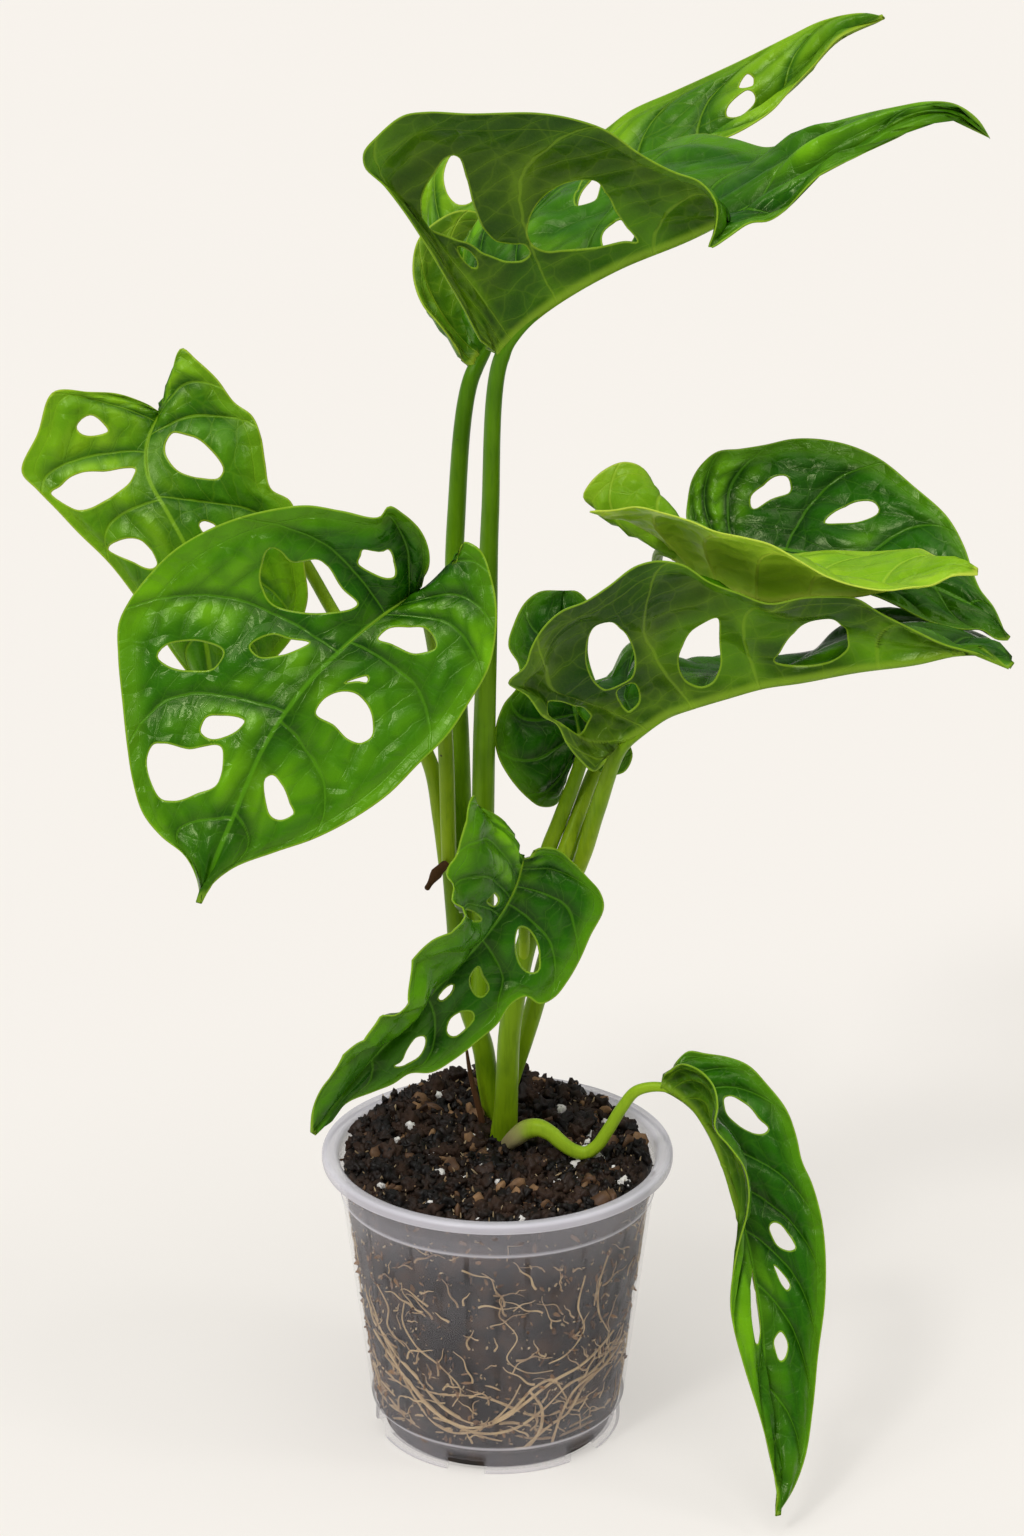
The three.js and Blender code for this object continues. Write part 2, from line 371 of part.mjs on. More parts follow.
// A smooth line through points, read by its share of the length: at(0) is the first point, at(1) the last.
function line(points) {
  const knots = [0];
  for (let i = 1; i < points.length; i++) {
    knots.push(knots[i - 1] + points[i].distanceTo(points[i - 1]) ** 0.75);
  }
  const last = points.length - 1;
  const slope = (i, j) => points[j].clone().sub(points[i]).divideScalar(knots[j] - knots[i]);
  const tangents = points.map((_, i) => {
    if (i === 0) return slope(0, 1);
    if (i === last) return slope(last - 1, last);
    const before = knots[i] - knots[i - 1];
    const after = knots[i + 1] - knots[i];
    return slope(i - 1, i).multiplyScalar(after).add(slope(i, i + 1).multiplyScalar(before))
      .divideScalar(before + after);
  });
  const at = (share) => {
    const s = THREE.MathUtils.clamp(share, 0, 1) * knots[last];
    let i = 0;
    while (i < last - 1 && s > knots[i + 1]) i++;
    const span = knots[i + 1] - knots[i];
    const t = (s - knots[i]) / span;
    return points[i].clone().multiplyScalar(1 + t * t * (2 * t - 3))
      .addScaledVector(tangents[i], span * t * (1 - t) ** 2)
      .addScaledVector(points[i + 1], t * t * (3 - 2 * t))
      .addScaledVector(tangents[i + 1], span * t * t * (t - 1));
  };
  at.shares = knots.map((s) => s / knots[last]);
  return at;
}

// A leaf's surface: w runs from base to tip along the rib, v from the left margin (-1) over the rib (0)
// to the right margin (1).
function makeSurface(leaf) {
  const rib = line(leaf.rib.map(seen));
  const margins = { left: line(leaf.left.map(seen)), right: line(leaf.right.map(seen)) };
  const surface = (w, v) => {
    const away = Math.abs(v);
    const u = w + VEIN_SWEEP * away ** 1.5 * 4 * w * (1 - w);
    const middle = rib(u ** RIB_CROWDING);
    const side = margins[v < 0 ? 'left' : 'right'](u).sub(middle);
    const steady = THREE.MathUtils.clamp(u, 0.12, 0.95);
    const ahead = rib((steady + 0.02) ** RIB_CROWDING).sub(rib((steady - 0.02) ** RIB_CROWDING));
    const upper = (v < 0 ? ahead.cross(side) : side.clone().cross(ahead)).normalize();
    const [base, mid, tip] = leaf.cup[v < 0 ? 0 : 1];
    const cup = base * (1 - u) * (1 - 2 * u) + mid * 4 * u * (1 - u) + tip * u * (2 * u - 1);
    const sunk = -cup * side.length() * 2 * away * (1 - away);
    return middle.addScaledVector(upper, sunk).addScaledVector(side, away);
  };
  surface.margins = margins;
  return surface;
}

function normalAt(surface, w, v) {
  const along = surface(Math.min(w + 0.01, 1), v).sub(surface(Math.max(w - 0.01, 0), v));
  const across = surface(w, Math.min(v + 0.05, 1)).sub(surface(w, Math.max(v - 0.05, -1)));
  return across.cross(along).normalize();
}

// The place [w, v] on one half of a leaf that is seen at [across, up]
function placeOn(surface, half, [across, up]) {
  const miss = (w, away) => {
    const [a, b] = view(surface(w, half * away));
    return (a - across) ** 2 + (b - up) ** 2;
  };
  let best = [0.5, 0.5, miss(0.5, 0.5)];
  const tryAt = (w, away) => {
    const [x, y] = [THREE.MathUtils.clamp(w, 0.03, 0.96), THREE.MathUtils.clamp(away, 0.07, 0.93)];
    const distance = miss(x, y);
    if (distance < best[2]) best = [x, y, distance];
  };
  for (let w = 0.04; w < 0.97; w += 0.04) for (let away = 0.06; away < 1; away += 0.08) tryAt(w, away);
  for (let step = 0.03; step > 0.001; step *= 0.6) {
    for (let i = 0; i < 3; i++) {
      const [w, away] = best;
      for (const [dw, dv] of [[1, 0], [-1, 0], [0, 2], [0, -2], [1, 2], [-1, -2], [1, -2], [-1, 2]]) {
        tryAt(w + dw * step, away + dv * step);
      }
    }
  }
  return [best[0], half * best[1]];
}

const area = (a, b, c) => (b.x - a.x) * (c.y - a.y) - (b.y - a.y) * (c.x - a.x);

function distanceToEdge(p, a, b) {
  const edge = b.clone().sub(a);
  const t = THREE.MathUtils.clamp(p.clone().sub(a).dot(edge) / edge.lengthSq(), 0, 1);
  return p.distanceTo(a.clone().addScaledVector(edge, t));
}

function insideCircle(a, b, c, p) {
  const [ax, ay, bx, by, cx, cy] = [a.x - p.x, a.y - p.y, b.x - p.x, b.y - p.y, c.x - p.x, c.y - p.y];
  return (ax * ax + ay * ay) * (bx * cy - cx * by) - (bx * bx + by * by) * (ax * cy - cx * ay)
    + (cx * cx + cy * cy) * (ax * by - bx * ay);
}

// A flat sheet inside an outline, round its holes and through the inner points that lie clear of every edge.
// Edges are swapped until the triangles are as even as they can be.
function makeSheet(outline, holes, inner, clearance) {
  const points = [...outline, ...holes.flat()];
  let faces = THREE.ShapeUtils.triangulateShape(outline, holes)
    .map(([a, b, c]) => (area(points[a], points[b], points[c]) > 0 ? [a, b, c] : [a, c, b]));
  const fixed = new Set();
  const key = (a, b) => (a < b ? `${a},${b}` : `${b},${a}`);
  const rings = [outline, ...holes];
  let start = 0;
  for (const ring of rings) {
    ring.forEach((_, i) => fixed.add(key(start + i, start + (i + 1) % ring.length)));
    start += ring.length;
  }
  const nearEdge = (p) => rings.some((ring) => ring
    .some((a, i) => distanceToEdge(p, a, ring[(i + 1) % ring.length]) < clearance));
  for (const p of inner) {
    if (nearEdge(p)) continue;
    const at = faces.findIndex((face) => face
      .every((a, i) => area(points[a], points[face[(i + 1) % 3]], p) > 0.01));
    if (at < 0) continue;
    const [a, b, c] = faces[at];
    const n = points.push(p) - 1;
    faces.splice(at, 1, [a, b, n], [b, c, n], [c, a, n]);
  }
  for (let pass = 0, swapped = true; swapped && pass < 300; pass++) {
    swapped = false;
    const sides = new Map();
    faces.forEach((face, f) => face.forEach((a, i) => {
      sides.set(`${a},${face[(i + 1) % 3]}`, [f, face[(i + 2) % 3]]);
    }));
    const touched = new Set();
    for (const [name, [f, c]] of sides) {
      const [a, b] = name.split(',').map(Number);
      const other = sides.get(`${b},${a}`);
      if (!other || fixed.has(key(a, b)) || touched.has(f) || touched.has(other[0])) continue;
      const [g, d] = other;
      if (insideCircle(points[a], points[b], points[c], points[d]) < 1e-6) continue;
      const smaller = Math.min(area(points[a], points[d], points[c]), area(points[d], points[b], points[c]));
      if (smaller < 1e-6) continue;
      faces[f] = [a, d, c];
      faces[g] = [d, b, c];
      touched.add(f).add(g);
      swapped = true;
    }
  }
  return { points, faces };
}

// The outline, holes and inner points of a leaf, and the closed blade between two offsets of its surface
function makeLeaf(leaf) {
  const surface = makeSurface(leaf);
  const length = surface(0.02, 0).distanceTo(surface(0.5, 0)) + surface(0.5, 0).distanceTo(surface(0.98, 0));
  const middle = surface(0.45, 0);
  const width = (middle.distanceTo(surface(0.45, 1)) + middle.distanceTo(surface(0.45, -1))) / 2;
  const flat = ([w, v]) => new THREE.Vector2(w * length, v * width);
  const ends = [0.015, 0.982];
  // Along a margin: its own points, and one between where they are far apart
  const marginSteps = (v, margin) => {
    const shares = margin.shares.flatMap((u, i, all) => {
      const far = i > 0 && margin(u).distanceTo(margin(all[i - 1])) > OUTLINE_STEP;
      return far ? [(u + all[i - 1]) / 2, u] : [u];
    });
    const swept = 1 + 4 * VEIN_SWEEP;
    const places = shares.map((u) => (swept - Math.sqrt(swept ** 2 - 16 * VEIN_SWEEP * u)) / (8 * VEIN_SWEEP))
      .filter((w) => w > ends[0] + 0.01 && w < ends[1] - 0.01);
    return [ends[0], ...places, ends[1]].map((w) => flat([w, v]));
  };
  const outline = [...marginSteps(-1, surface.margins.left), flat([ends[1], 0]),
    ...marginSteps(1, surface.margins.right).reverse(), flat([ends[0], 0])];
  const holes = ['left', 'right'].flatMap((half) => leaf.holes[half]
    .map((ring) => ring.map((point) => flat(placeOn(surface, half === 'left' ? -1 : 1, point)))));
  const ridge = 2 / width;
  const rows = (spacing, places) => {
    const count = Math.round(length / spacing);
    return Array.from({ length: count - 1 }, (_, i) => places.map((v, j) => {
      const w = (i + 1 + (j % 2 ? 0.25 : -0.25) * (places.length > 3)) / count;
      return flat([ends[0] + (ends[1] - ends[0]) * w, v]);
    })).flat();
  };
  const inner = [...rows(9, [0, -ridge, ridge]), ...rows(13, [-0.7, -0.36, 0.36, 0.7])];
  const net = makeSheet(outline, holes, inner, 1.1);
  // The closed blade; with grow it is that much fatter and wider all round.
  return (grow = 0) => {
    const tops = [];
    const bottoms = [];
    net.points.forEach((p, i) => {
      const [w, v] = [p.x / length, p.y / width];
      const at = surface(w, v);
      const normal = normalAt(surface, w, v);
      if (i < outline.length && grow) {
        const inward = Math.abs(v) < 0.5 ? surface(w + (w < 0.5 ? 0.03 : -0.01), 0) : surface(w, v * 0.9);
        at.addScaledVector(at.clone().sub(inward).normalize(), grow);
      }
      const ridgeDepth = Math.abs(v) < ridge / 2 ? MIDRIB_DEPTH * (1 - w) : 0;
      tops.push(at.clone().addScaledVector(normal, LEAF_THICKNESS / 2 + grow));
      bottoms.push(at.clone().addScaledVector(normal, -LEAF_THICKNESS / 2 - grow - ridgeDepth));
    });
    const n = tops.length;
    const index = [];
    const sides = new Set(net.faces.flatMap((face) => face.map((a, i) => `${a},${face[(i + 1) % 3]}`)));
    for (const [a, b, c] of net.faces) {
      index.push(a, c, b, n + a, n + b, n + c);
      for (const [p, q] of [[a, b], [b, c], [c, a]]) {
        if (!sides.has(`${q},${p}`)) index.push(n + q, n + p, p, n + q, p, q);
      }
    }
    return makeGeometry([...tops, ...bottoms], index);
  };
}

function makeGeometry(points, index) {
  const geometry = new THREE.BufferGeometry();
  const numbers = points.flatMap((p) => [p.x, p.y, p.z]);
  geometry.setAttribute('position', new THREE.Float32BufferAttribute(numbers, 3));
  geometry.setIndex(index);
  return geometry;
}

// A round stalk along a line of [across, up, near, radius], or with grow a little fatter and longer all round
function makeStalk(stations, grow = 0, sides = STALK_SIDES, step = 11) {
  return makeTube(stations.map(seen), stations.map((s) => s[3] + grow), grow, sides, step);
}

function makeTube(points, radii, longer, sides, step) {
  const centre = line(points);
  const length = points.slice(1).reduce((sum, p, i) => sum + p.distanceTo(points[i]), 0);
  const count = Math.max(3, Math.round(length / step));
  const rings = [];
  let normal = new THREE.Vector3(0, 1, 0.2);
  for (let i = 0; i <= count; i++) {
    const share = i / count;
    const ahead = centre(share + 0.01).sub(centre(share - 0.01)).normalize();
    normal = normal.clone().addScaledVector(ahead, -normal.dot(ahead)).normalize();
    const across = ahead.clone().cross(normal);
    const at = centre(share).addScaledVector(ahead, i === 0 ? -longer : i === count ? longer : 0);
    const radius = radiusAt(radii, share);
    for (let k = 0; k < sides; k++) {
      const turn = (2 * Math.PI * k) / sides;
      rings.push(at.clone().addScaledVector(normal, Math.cos(turn) * radius)
        .addScaledVector(across, Math.sin(turn) * radius));
    }
  }
  const index = [];
  for (let i = 0; i < count; i++) {
    for (let k = 0; k < sides; k++) {
      const [a, b] = [i * sides + k, i * sides + (k + 1) % sides];
      index.push(a, b, b + sides, a, b + sides, a + sides);
    }
  }
  for (let k = 1; k < sides - 1; k++) {
    index.push(0, k + 1, k, count * sides, count * sides + k, count * sides + k + 1);
  }
  return makeGeometry(rings, index);
}

function radiusAt(radii, share) {
  const at = share * (radii.length - 1);
  const i = Math.min(Math.floor(at), radii.length - 2);
  return THREE.MathUtils.lerp(radii[i], radii[i + 1], at - i);
}

// Joining and cutting
function toSolid(geometry) {
  return new wasm.Manifold(new wasm.Mesh({
    numProp: 3,
    vertProperties: new Float32Array(geometry.attributes.position.array),
    triVerts: new Uint32Array(geometry.index.array),
  }));
}

// The largest piece of a cut body, with corners closer than a speck made one
function toGeometry(solid) {
  const pieces = solid.decompose();
  const largest = pieces.reduce((a, b) => (b.volume() > a.volume() ? b : a));
  const mesh = largest.getMesh();
  const cut = new THREE.BufferGeometry();
  cut.setAttribute('position', new THREE.BufferAttribute(mesh.vertProperties, 3));
  cut.setIndex(new THREE.BufferAttribute(mesh.triVerts, 1));
  const geometry = mergeVertices(cut, SPECK);
  const corners = geometry.index.array;
  const kept = [];
  for (let i = 0; i < corners.length; i += 3) {
    const [a, b, c] = corners.slice(i, i + 3);
    if (a !== b && b !== c && c !== a) kept.push(a, b, c);
  }
  geometry.setIndex(kept);
  return geometry;
}

// A body turned round the pot's axis from a profile of [radius, height] that starts and ends on the axis.
// shift moves each spot, where given.
function turn(profile, sides, shift = (p) => p) {
  const spots = [];
  const rows = profile.map(([r, z]) => {
    const first = spots.length;
    if (r === 0) {
      spots.push(shift(new THREE.Vector3(0, 0, z)));
      return () => first;
    }
    for (let k = 0; k < sides; k++) {
      const angle = (2 * Math.PI * k) / sides;
      spots.push(shift(new THREE.Vector3(r * Math.cos(angle), r * Math.sin(angle), z)));
    }
    return (k) => first + (k % sides);
  });
  const index = [];
  for (let i = 0; i < rows.length - 1; i++) {
    const [low, high] = [rows[i], rows[i + 1]];
    for (let k = 0; k < sides; k++) {
      if (profile[i][0] > 0) index.push(low(k), low(k + 1), high(k + 1));
      if (profile[i + 1][0] > 0) index.push(low(k), high(k + 1), high(k));
    }
  }
  return makeGeometry(spots, index);
}

const plant = new THREE.Group();

function add(name, geometry, colour, roughness, metalness = 0, opacity = 1) {
  const look = { color: colour, roughness, metalness, opacity, transparent: opacity < 1 };
  const mesh = new THREE.Mesh(geometry, new THREE.MeshStandardMaterial(look));
  mesh.name = name;
  plant.add(mesh);
}

// Leaves
const leaves = Object.fromEntries(Object.entries(LEAVES).map(([name, leaf]) => [name, makeLeaf(leaf)]));
const LEAF_COLOURS = { leaf_right_young: 0x86a82e, leaf_left_back: 0x4f9a22, leaf_top_back: 0x4f9a22 };
for (const [name, blade] of Object.entries(leaves)) add(name, blade(), LEAF_COLOURS[name] ?? 0x2f7a1c, 0.38);

// Stalks: each stands clear of the stalks before it and stops just short of its leaf.
const fatStalks = [];
function addStalk(name, stations, blade, colour) {
  const step = name === 'petiole_trailing' ? 6.5 : 11;
  let solid = toSolid(makeStalk(stations, 0, STALK_SIDES, step));
  for (const fat of fatStalks) solid = solid.subtract(fat);
  if (blade) solid = solid.subtract(toSolid(blade(GAP * 2)));
  fatStalks.push(toSolid(makeStalk(stations, GAP, STALK_SIDES, step)));
  add(name, toGeometry(solid), colour, 0.45);
}
for (const [name, stations] of Object.entries(STEMS)) addStalk(name, stations, null, 0x6f9a2e);
for (const [name, [leaf, stations]] of Object.entries(PETIOLES)) {
  addStalk(name, stations, leaves[leaf], 0x86b32f);
}
for (const [name, stations] of Object.entries(DRY)) addStalk(name, stations, null, 0x5a3a1e);

// Pot: flat bottom, notched foot, step, tapered wall with a fine ring, rolled rim
const WALL_TOP = POT_HEIGHT - 3;
const wallAt = (z) => THREE.MathUtils.mapLinear(z, FOOT_HEIGHT, WALL_TOP, FOOT_STEP_RADIUS, WALL_TOP_RADIUS);
const ringHeight = POT_HEIGHT - RING_BELOW_RIM;
const potProfile = [
  [0, 0], [FOOT_RADIUS - 0.8, 0], [FOOT_RADIUS, 0.8], [FOOT_RADIUS, FOOT_HEIGHT - 0.8],
  [FOOT_STEP_RADIUS, FOOT_HEIGHT], [wallAt(50), 50], [wallAt(ringHeight - 0.7), ringHeight - 0.7],
  [wallAt(ringHeight) + 0.5, ringHeight],
  [wallAt(ringHeight + 0.7), ringHeight + 0.7], [WALL_TOP_RADIUS, POT_HEIGHT - 2.2],
  [RIM_RADIUS - 1.2, POT_HEIGHT - 1.5], [RIM_RADIUS - 1.2, POT_HEIGHT - RIM_SKIRT],
  [RIM_RADIUS, POT_HEIGHT - RIM_SKIRT],
  [RIM_RADIUS, POT_HEIGHT - 0.6], [RIM_RADIUS - 0.7, POT_HEIGHT], [WALL_TOP_RADIUS + 0.6, POT_HEIGHT],
  [WALL_TOP_RADIUS - WALL + 0.2, POT_HEIGHT - 1.2], [wallAt(POT_HEIGHT - 6) - WALL, POT_HEIGHT - 6],
  [wallAt(50) - WALL, 50], [wallAt(FOOT_HEIGHT + 0.6) - WALL, FOOT_HEIGHT + 0.6],
  [FOOT_RADIUS - 2.3, FOOT_HEIGHT], [FOOT_RADIUS - 2.3, 1.4], [0, 1.4],
];
let pot = toSolid(turn(potProfile, POT_SIDES));
for (let i = 0; i < DRAIN_NOTCHES; i++) {
  const box = new THREE.BoxGeometry(8, NOTCH_WIDTH, NOTCH_HEIGHT + 1);
  box.deleteAttribute('normal');
  box.deleteAttribute('uv');
  box.translate(FOOT_RADIUS, 0, (NOTCH_HEIGHT - 1) / 2);
  box.rotateZ((2 * Math.PI * (i + 0.25)) / DRAIN_NOTCHES);
  pot = pot.subtract(toSolid(mergeVertices(box)));
}
add('pot', toGeometry(pot), 0xd9d6e2, 0.25, 0, 0.35);

// Soil: lumpy, heaped above the rim at the back, with plain holes for the stalks
const lump = (x, y) => 1.2 * Math.sin(0.42 * x + 1.1) * Math.cos(0.47 * y - 0.4)
  + 0.8 * Math.sin(0.83 * x - 0.71 * y) + 0.6 * Math.cos(1.27 * x + 0.9 * y + 2);
const heap = (x, y) => SOIL_HEAP * Math.max(y - 0.3 * x, 0) ** 2;
const soilHeight = (x, y) => SOIL_MIDDLE + SOIL_SLOPE * y + heap(x, y) + lump(x, y);
const inside = (z) => wallAt(z) - WALL;
const soilEdge = POT_HEIGHT - 5;
const soilRings = [50.5, 46, 40, 33, 26, 19, 12, 5];
const soilProfile = [[0, FOOT_HEIGHT + GAP + 0.1], [FOOT_STEP_RADIUS - WALL - 1.6, FOOT_HEIGHT + GAP + 0.1],
  [inside(FOOT_HEIGHT + 2.5) - ROOT_SPACE, FOOT_HEIGHT + 2.5], [inside(50) - ROOT_SPACE, 50],
  [inside(90) - ROOT_SPACE, 90], [inside(94) - 0.5, 94], [inside(soilEdge) - 0.5, soilEdge],
  ...soilRings.map((r) => [r, POT_HEIGHT]), [0, POT_HEIGHT]];
const soilTop = turn(soilProfile, POT_SIDES, (p) => {
  if (p.z < POT_HEIGHT) return p;
  const height = soilHeight(p.x, p.y);
  const low = Math.max(THREE.MathUtils.lerp(soilEdge, height, 0.7), soilEdge + 0.3);
  p.z = Math.hypot(p.x, p.y) > 48 ? low : height;
  return p;
});
let soil = toSolid(soilTop);
for (const fat of fatStalks) soil = soil.subtract(fat);
add('soil', toGeometry(soil), 0x2c2019, 0.95);

// Roots: long ones swirl low against the wall, and thin ones climb from them
const rootAt = (angle, z) => {
  const r = (wallAt(z) - WALL) * Math.cos(Math.PI / POT_SIDES) - ROOT_RADIUS - 0.4;
  return new THREE.Vector3(r * Math.cos(angle), r * Math.sin(angle), z);
};
const SWIRLS = [ // start angle, turn in degrees, height, wave height, waves, phase
  [-175, 300, 25, 8, 4, 0], [-70, 290, 31, 9, 5, 2.6], [60, 310, 21, 7, 5, 0.9],
];
const swirlAt = ([from, turned, height, wave, waves, phase], share, lean = 0, gain = 0) => {
  const angle = THREE.MathUtils.degToRad(from + turned * share + lean);
  const swing = phase + THREE.MathUtils.degToRad(turned) * share * waves;
  return rootAt(angle, height + wave * Math.sin(swing) + gain);
};
const tubes = SWIRLS.map((swirl) => makeTube(Array.from({ length: 33 }, (_, i) => swirlAt(swirl, i / 32)),
  [ROOT_RADIUS * 0.8, ROOT_RADIUS, ROOT_RADIUS * 0.7], 0, 3, 8.5));
const CLIMBERS = [ // swirl it leaves, share along it, lean in degrees, height gained
  [0, 0.1, 14, 44], [0, 0.4, -16, 32], [0, 0.75, 13, 42], [1, 0.2, 18, 46], [1, 0.6, -12, 36],
  [2, 0.3, -15, 34], [2, 0.84, 15, 42],
];
for (const [n, share, lean, gain] of CLIMBERS) {
  const points = Array.from({ length: 7 }, (_, i) => swirlAt(SWIRLS[n], share, lean * (i / 6) ** 2
    + (i ? 3 * Math.sin(i * 1.7 + n) : 0), (gain * i) / 6));
  tubes.push(makeTube(points, [ROOT_RADIUS * 0.9, ROOT_RADIUS * 0.55], 0, 3, 9));
}
let roots = toSolid(tubes[0]);
for (const tube of tubes.slice(1)) roots = roots.add(toSolid(tube));
add('roots', toGeometry(roots), 0xb0905c, 0.8);

export default plant;
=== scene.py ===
# %% [markdown]
# # A potted swiss cheese plant
# A young climbing house plant: ten pierced leaves on long stalks, standing in dark soil in a clear
# nursery pot. The solid parts come from the imported model, and each is dressed here with a finer piece in
# the same place. We load that model first.

# %% Load the model
import json
import math

import bpy
import numpy as np
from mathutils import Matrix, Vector, noise
from mathutils.geometry import delaunay_2d_cdt
from mathutils.kdtree import KDTree


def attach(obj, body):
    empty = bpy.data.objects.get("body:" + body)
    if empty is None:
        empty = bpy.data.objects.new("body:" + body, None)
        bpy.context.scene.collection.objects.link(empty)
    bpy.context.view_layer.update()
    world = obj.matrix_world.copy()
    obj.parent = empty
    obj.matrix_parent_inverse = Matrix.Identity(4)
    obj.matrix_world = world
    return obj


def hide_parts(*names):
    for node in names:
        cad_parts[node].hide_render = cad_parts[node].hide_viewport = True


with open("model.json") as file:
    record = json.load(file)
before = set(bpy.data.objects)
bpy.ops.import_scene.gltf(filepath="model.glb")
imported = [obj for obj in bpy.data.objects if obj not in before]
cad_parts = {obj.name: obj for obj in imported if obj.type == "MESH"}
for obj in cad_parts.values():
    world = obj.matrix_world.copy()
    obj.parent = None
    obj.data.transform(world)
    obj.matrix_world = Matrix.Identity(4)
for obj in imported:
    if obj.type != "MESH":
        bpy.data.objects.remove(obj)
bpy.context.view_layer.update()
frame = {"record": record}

MM = 0.001

# %% [markdown]
# ## The view
# The plant was looked at from the front, a little from above. Its leaves and stalks are written down as
# they are seen from there: across, up and near, in millimetres. One function turns such a point into a
# real one, so a leaf can be compared with what the eye sees while its depth is chosen apart.

# %% From seen points to real ones
POT_HEIGHT = 103
VIEW_PITCH = math.radians(20.5)
VIEW_DISTANCE = 1400
VIEW_ACROSS, VIEW_UP = 4.96, 129.57  # the middle of the view, measured from the middle of the pot's rim
RIGHT = np.array([1.0, 0, 0])
UP = np.array([0, math.sin(VIEW_PITCH), math.cos(VIEW_PITCH)])
AHEAD = np.array([0, math.cos(VIEW_PITCH), -math.sin(VIEW_PITCH)])
EYE = np.array([0, 0, POT_HEIGHT]) + RIGHT * VIEW_ACROSS + UP * VIEW_UP - AHEAD * VIEW_DISTANCE


def seen(points):
    """Real points in mm for rows of [across, up, near]."""
    points = np.array(points, float)
    rays = (np.outer(points[:, 0] - VIEW_ACROSS, RIGHT) + np.outer(points[:, 1] - VIEW_UP, UP)
            + AHEAD * VIEW_DISTANCE)
    return EYE + rays * ((-points[:, 2] - EYE[1]) / rays[:, 1])[:, None]


def in_view(points):
    """Where real points are seen, as rows of [across, up]."""
    rays = points - EYE
    scale = VIEW_DISTANCE / (rays @ AHEAD)
    return np.column_stack([VIEW_ACROSS + rays @ RIGHT * scale, VIEW_UP + rays @ UP * scale])


print("the eye stands at", EYE.round(1), "mm")

# %% [markdown]
# ## Camera and stage
# A long lens keeps the pot and the leaves in the proportions that one sees from a step away. The floor is
# one pale sheet without an edge in view, so it reads as a photographer's paper. The camera comes first,
# because every later choice is judged through it.

# %% Camera and floor
LENS = 96
FARTHEST_SEEN = 50
FLOOR_HALF = 9.0


def link(name, data):
    """A new object of the scene that holds the mesh, lamp or camera given."""
    made = bpy.data.objects.new(name, data)
    bpy.context.scene.collection.objects.link(made)
    return made


camera = link("camera", bpy.data.cameras.new("camera"))
camera.data.lens = LENS
camera.data.clip_end = FARTHEST_SEEN
camera.location = EYE * MM
camera.rotation_euler = (math.radians(90) - VIEW_PITCH, 0, 0)
bpy.context.scene.camera = camera

floor_mesh = bpy.data.meshes.new("floor")
floor_corners = [(x * FLOOR_HALF, y * FLOOR_HALF, 0) for x, y in ((-1, -1), (1, -1), (1, 1), (-1, 1))]
floor_mesh.from_pydata(floor_corners, [], [(0, 1, 2, 3)])
floor = link("floor", floor_mesh)
print("camera", [round(x, 3) for x in camera.location], "lens", LENS)

# %% [markdown]
# ## Small tools for node trees
# Materials and Geometry Nodes are both trees of nodes. One short helper adds a node, sets its properties
# and fills or links its sockets, so a tree can be read from top to bottom as a recipe. A few more name
# what every finish needs: sums, blends, eased steps, noise and bumps.

# %% Helpers that add one node
def fill(tree, sockets, values):
    """Sets each socket to its plain value, or links it to the node or socket that is its value."""
    for name, value in values.items():
        if isinstance(value, bpy.types.Node):
            value = value.outputs[0]
        if isinstance(value, bpy.types.NodeSocket):
            tree.links.new(value, sockets[name])
        else:
            sockets[name].default_value = value


def node(tree, kind, inputs=None, **settings):
    """A new node with its properties set and its inputs filled."""
    made = tree.nodes.new(kind)
    for name, value in settings.items():
        setattr(made, name, value)
    fill(tree, made.inputs, inputs or {})
    return made


def maths(tree, operation, *values):
    return node(tree, "ShaderNodeMath", dict(enumerate(values)), operation=operation).outputs[0]


def times(tree, first, second):
    return maths(tree, "MULTIPLY", first, second)


def times_plus(tree, first, second, third):
    """first times second, plus third."""
    return maths(tree, "MULTIPLY_ADD", first, second, third)


def ramp(tree, value, low, high, first=0.0, last=1.0):
    """value eased from first to last while it goes from low to high."""
    return node(tree, "ShaderNodeMapRange", {"Value": value, "From Min": low, "From Max": high,
                "To Min": first, "To Max": last}, interpolation_type="SMOOTHSTEP").outputs[0]


print("helpers for numbers: node, maths, times, times_plus, ramp")

# %% Helpers for materials
def new_material(name):
    """A material with one Principled shader; returns the material, its tree and the shader."""
    material = bpy.data.materials.new(name)
    material.use_nodes = True
    return material, material.node_tree, material.node_tree.nodes["Principled BSDF"]


def blend_colours(tree, share, first, second):
    """first mixed with second by share; each colour is a socket or red, green and blue."""
    colours = [(*colour, 1) if isinstance(colour, tuple) else colour for colour in (first, second)]
    return node(tree, "ShaderNodeMix", {"Factor": share, 6: colours[0], 7: colours[1]},
                data_type="RGBA").outputs[2]


def on_piece(tree):
    """Places on the piece itself, in metres."""
    return node(tree, "ShaderNodeTexCoord").outputs["Object"]


def attribute(tree, name):
    """The number that the mesh holds under that name."""
    return node(tree, "ShaderNodeAttribute", attribute_name=name).outputs["Fac"]


def grain(tree, scale, detail=3.0, where=None, stretch=None):
    """Noise from 0 to 1, so many lumps a metre, stretched per axis where asked."""
    where = where or on_piece(tree)
    if stretch:
        where = node(tree, "ShaderNodeMapping", {"Vector": where, "Scale": stretch}).outputs[0]
    return node(tree, "ShaderNodeTexNoise", {"Vector": where, "Scale": scale, "Detail": detail}).outputs[0]


def bump(tree, height, distance, strength):
    """Surface directions for a height, where a height of 1 is distance in metres."""
    return node(tree, "ShaderNodeBump", {"Height": height, "Distance": distance, "Strength": strength})


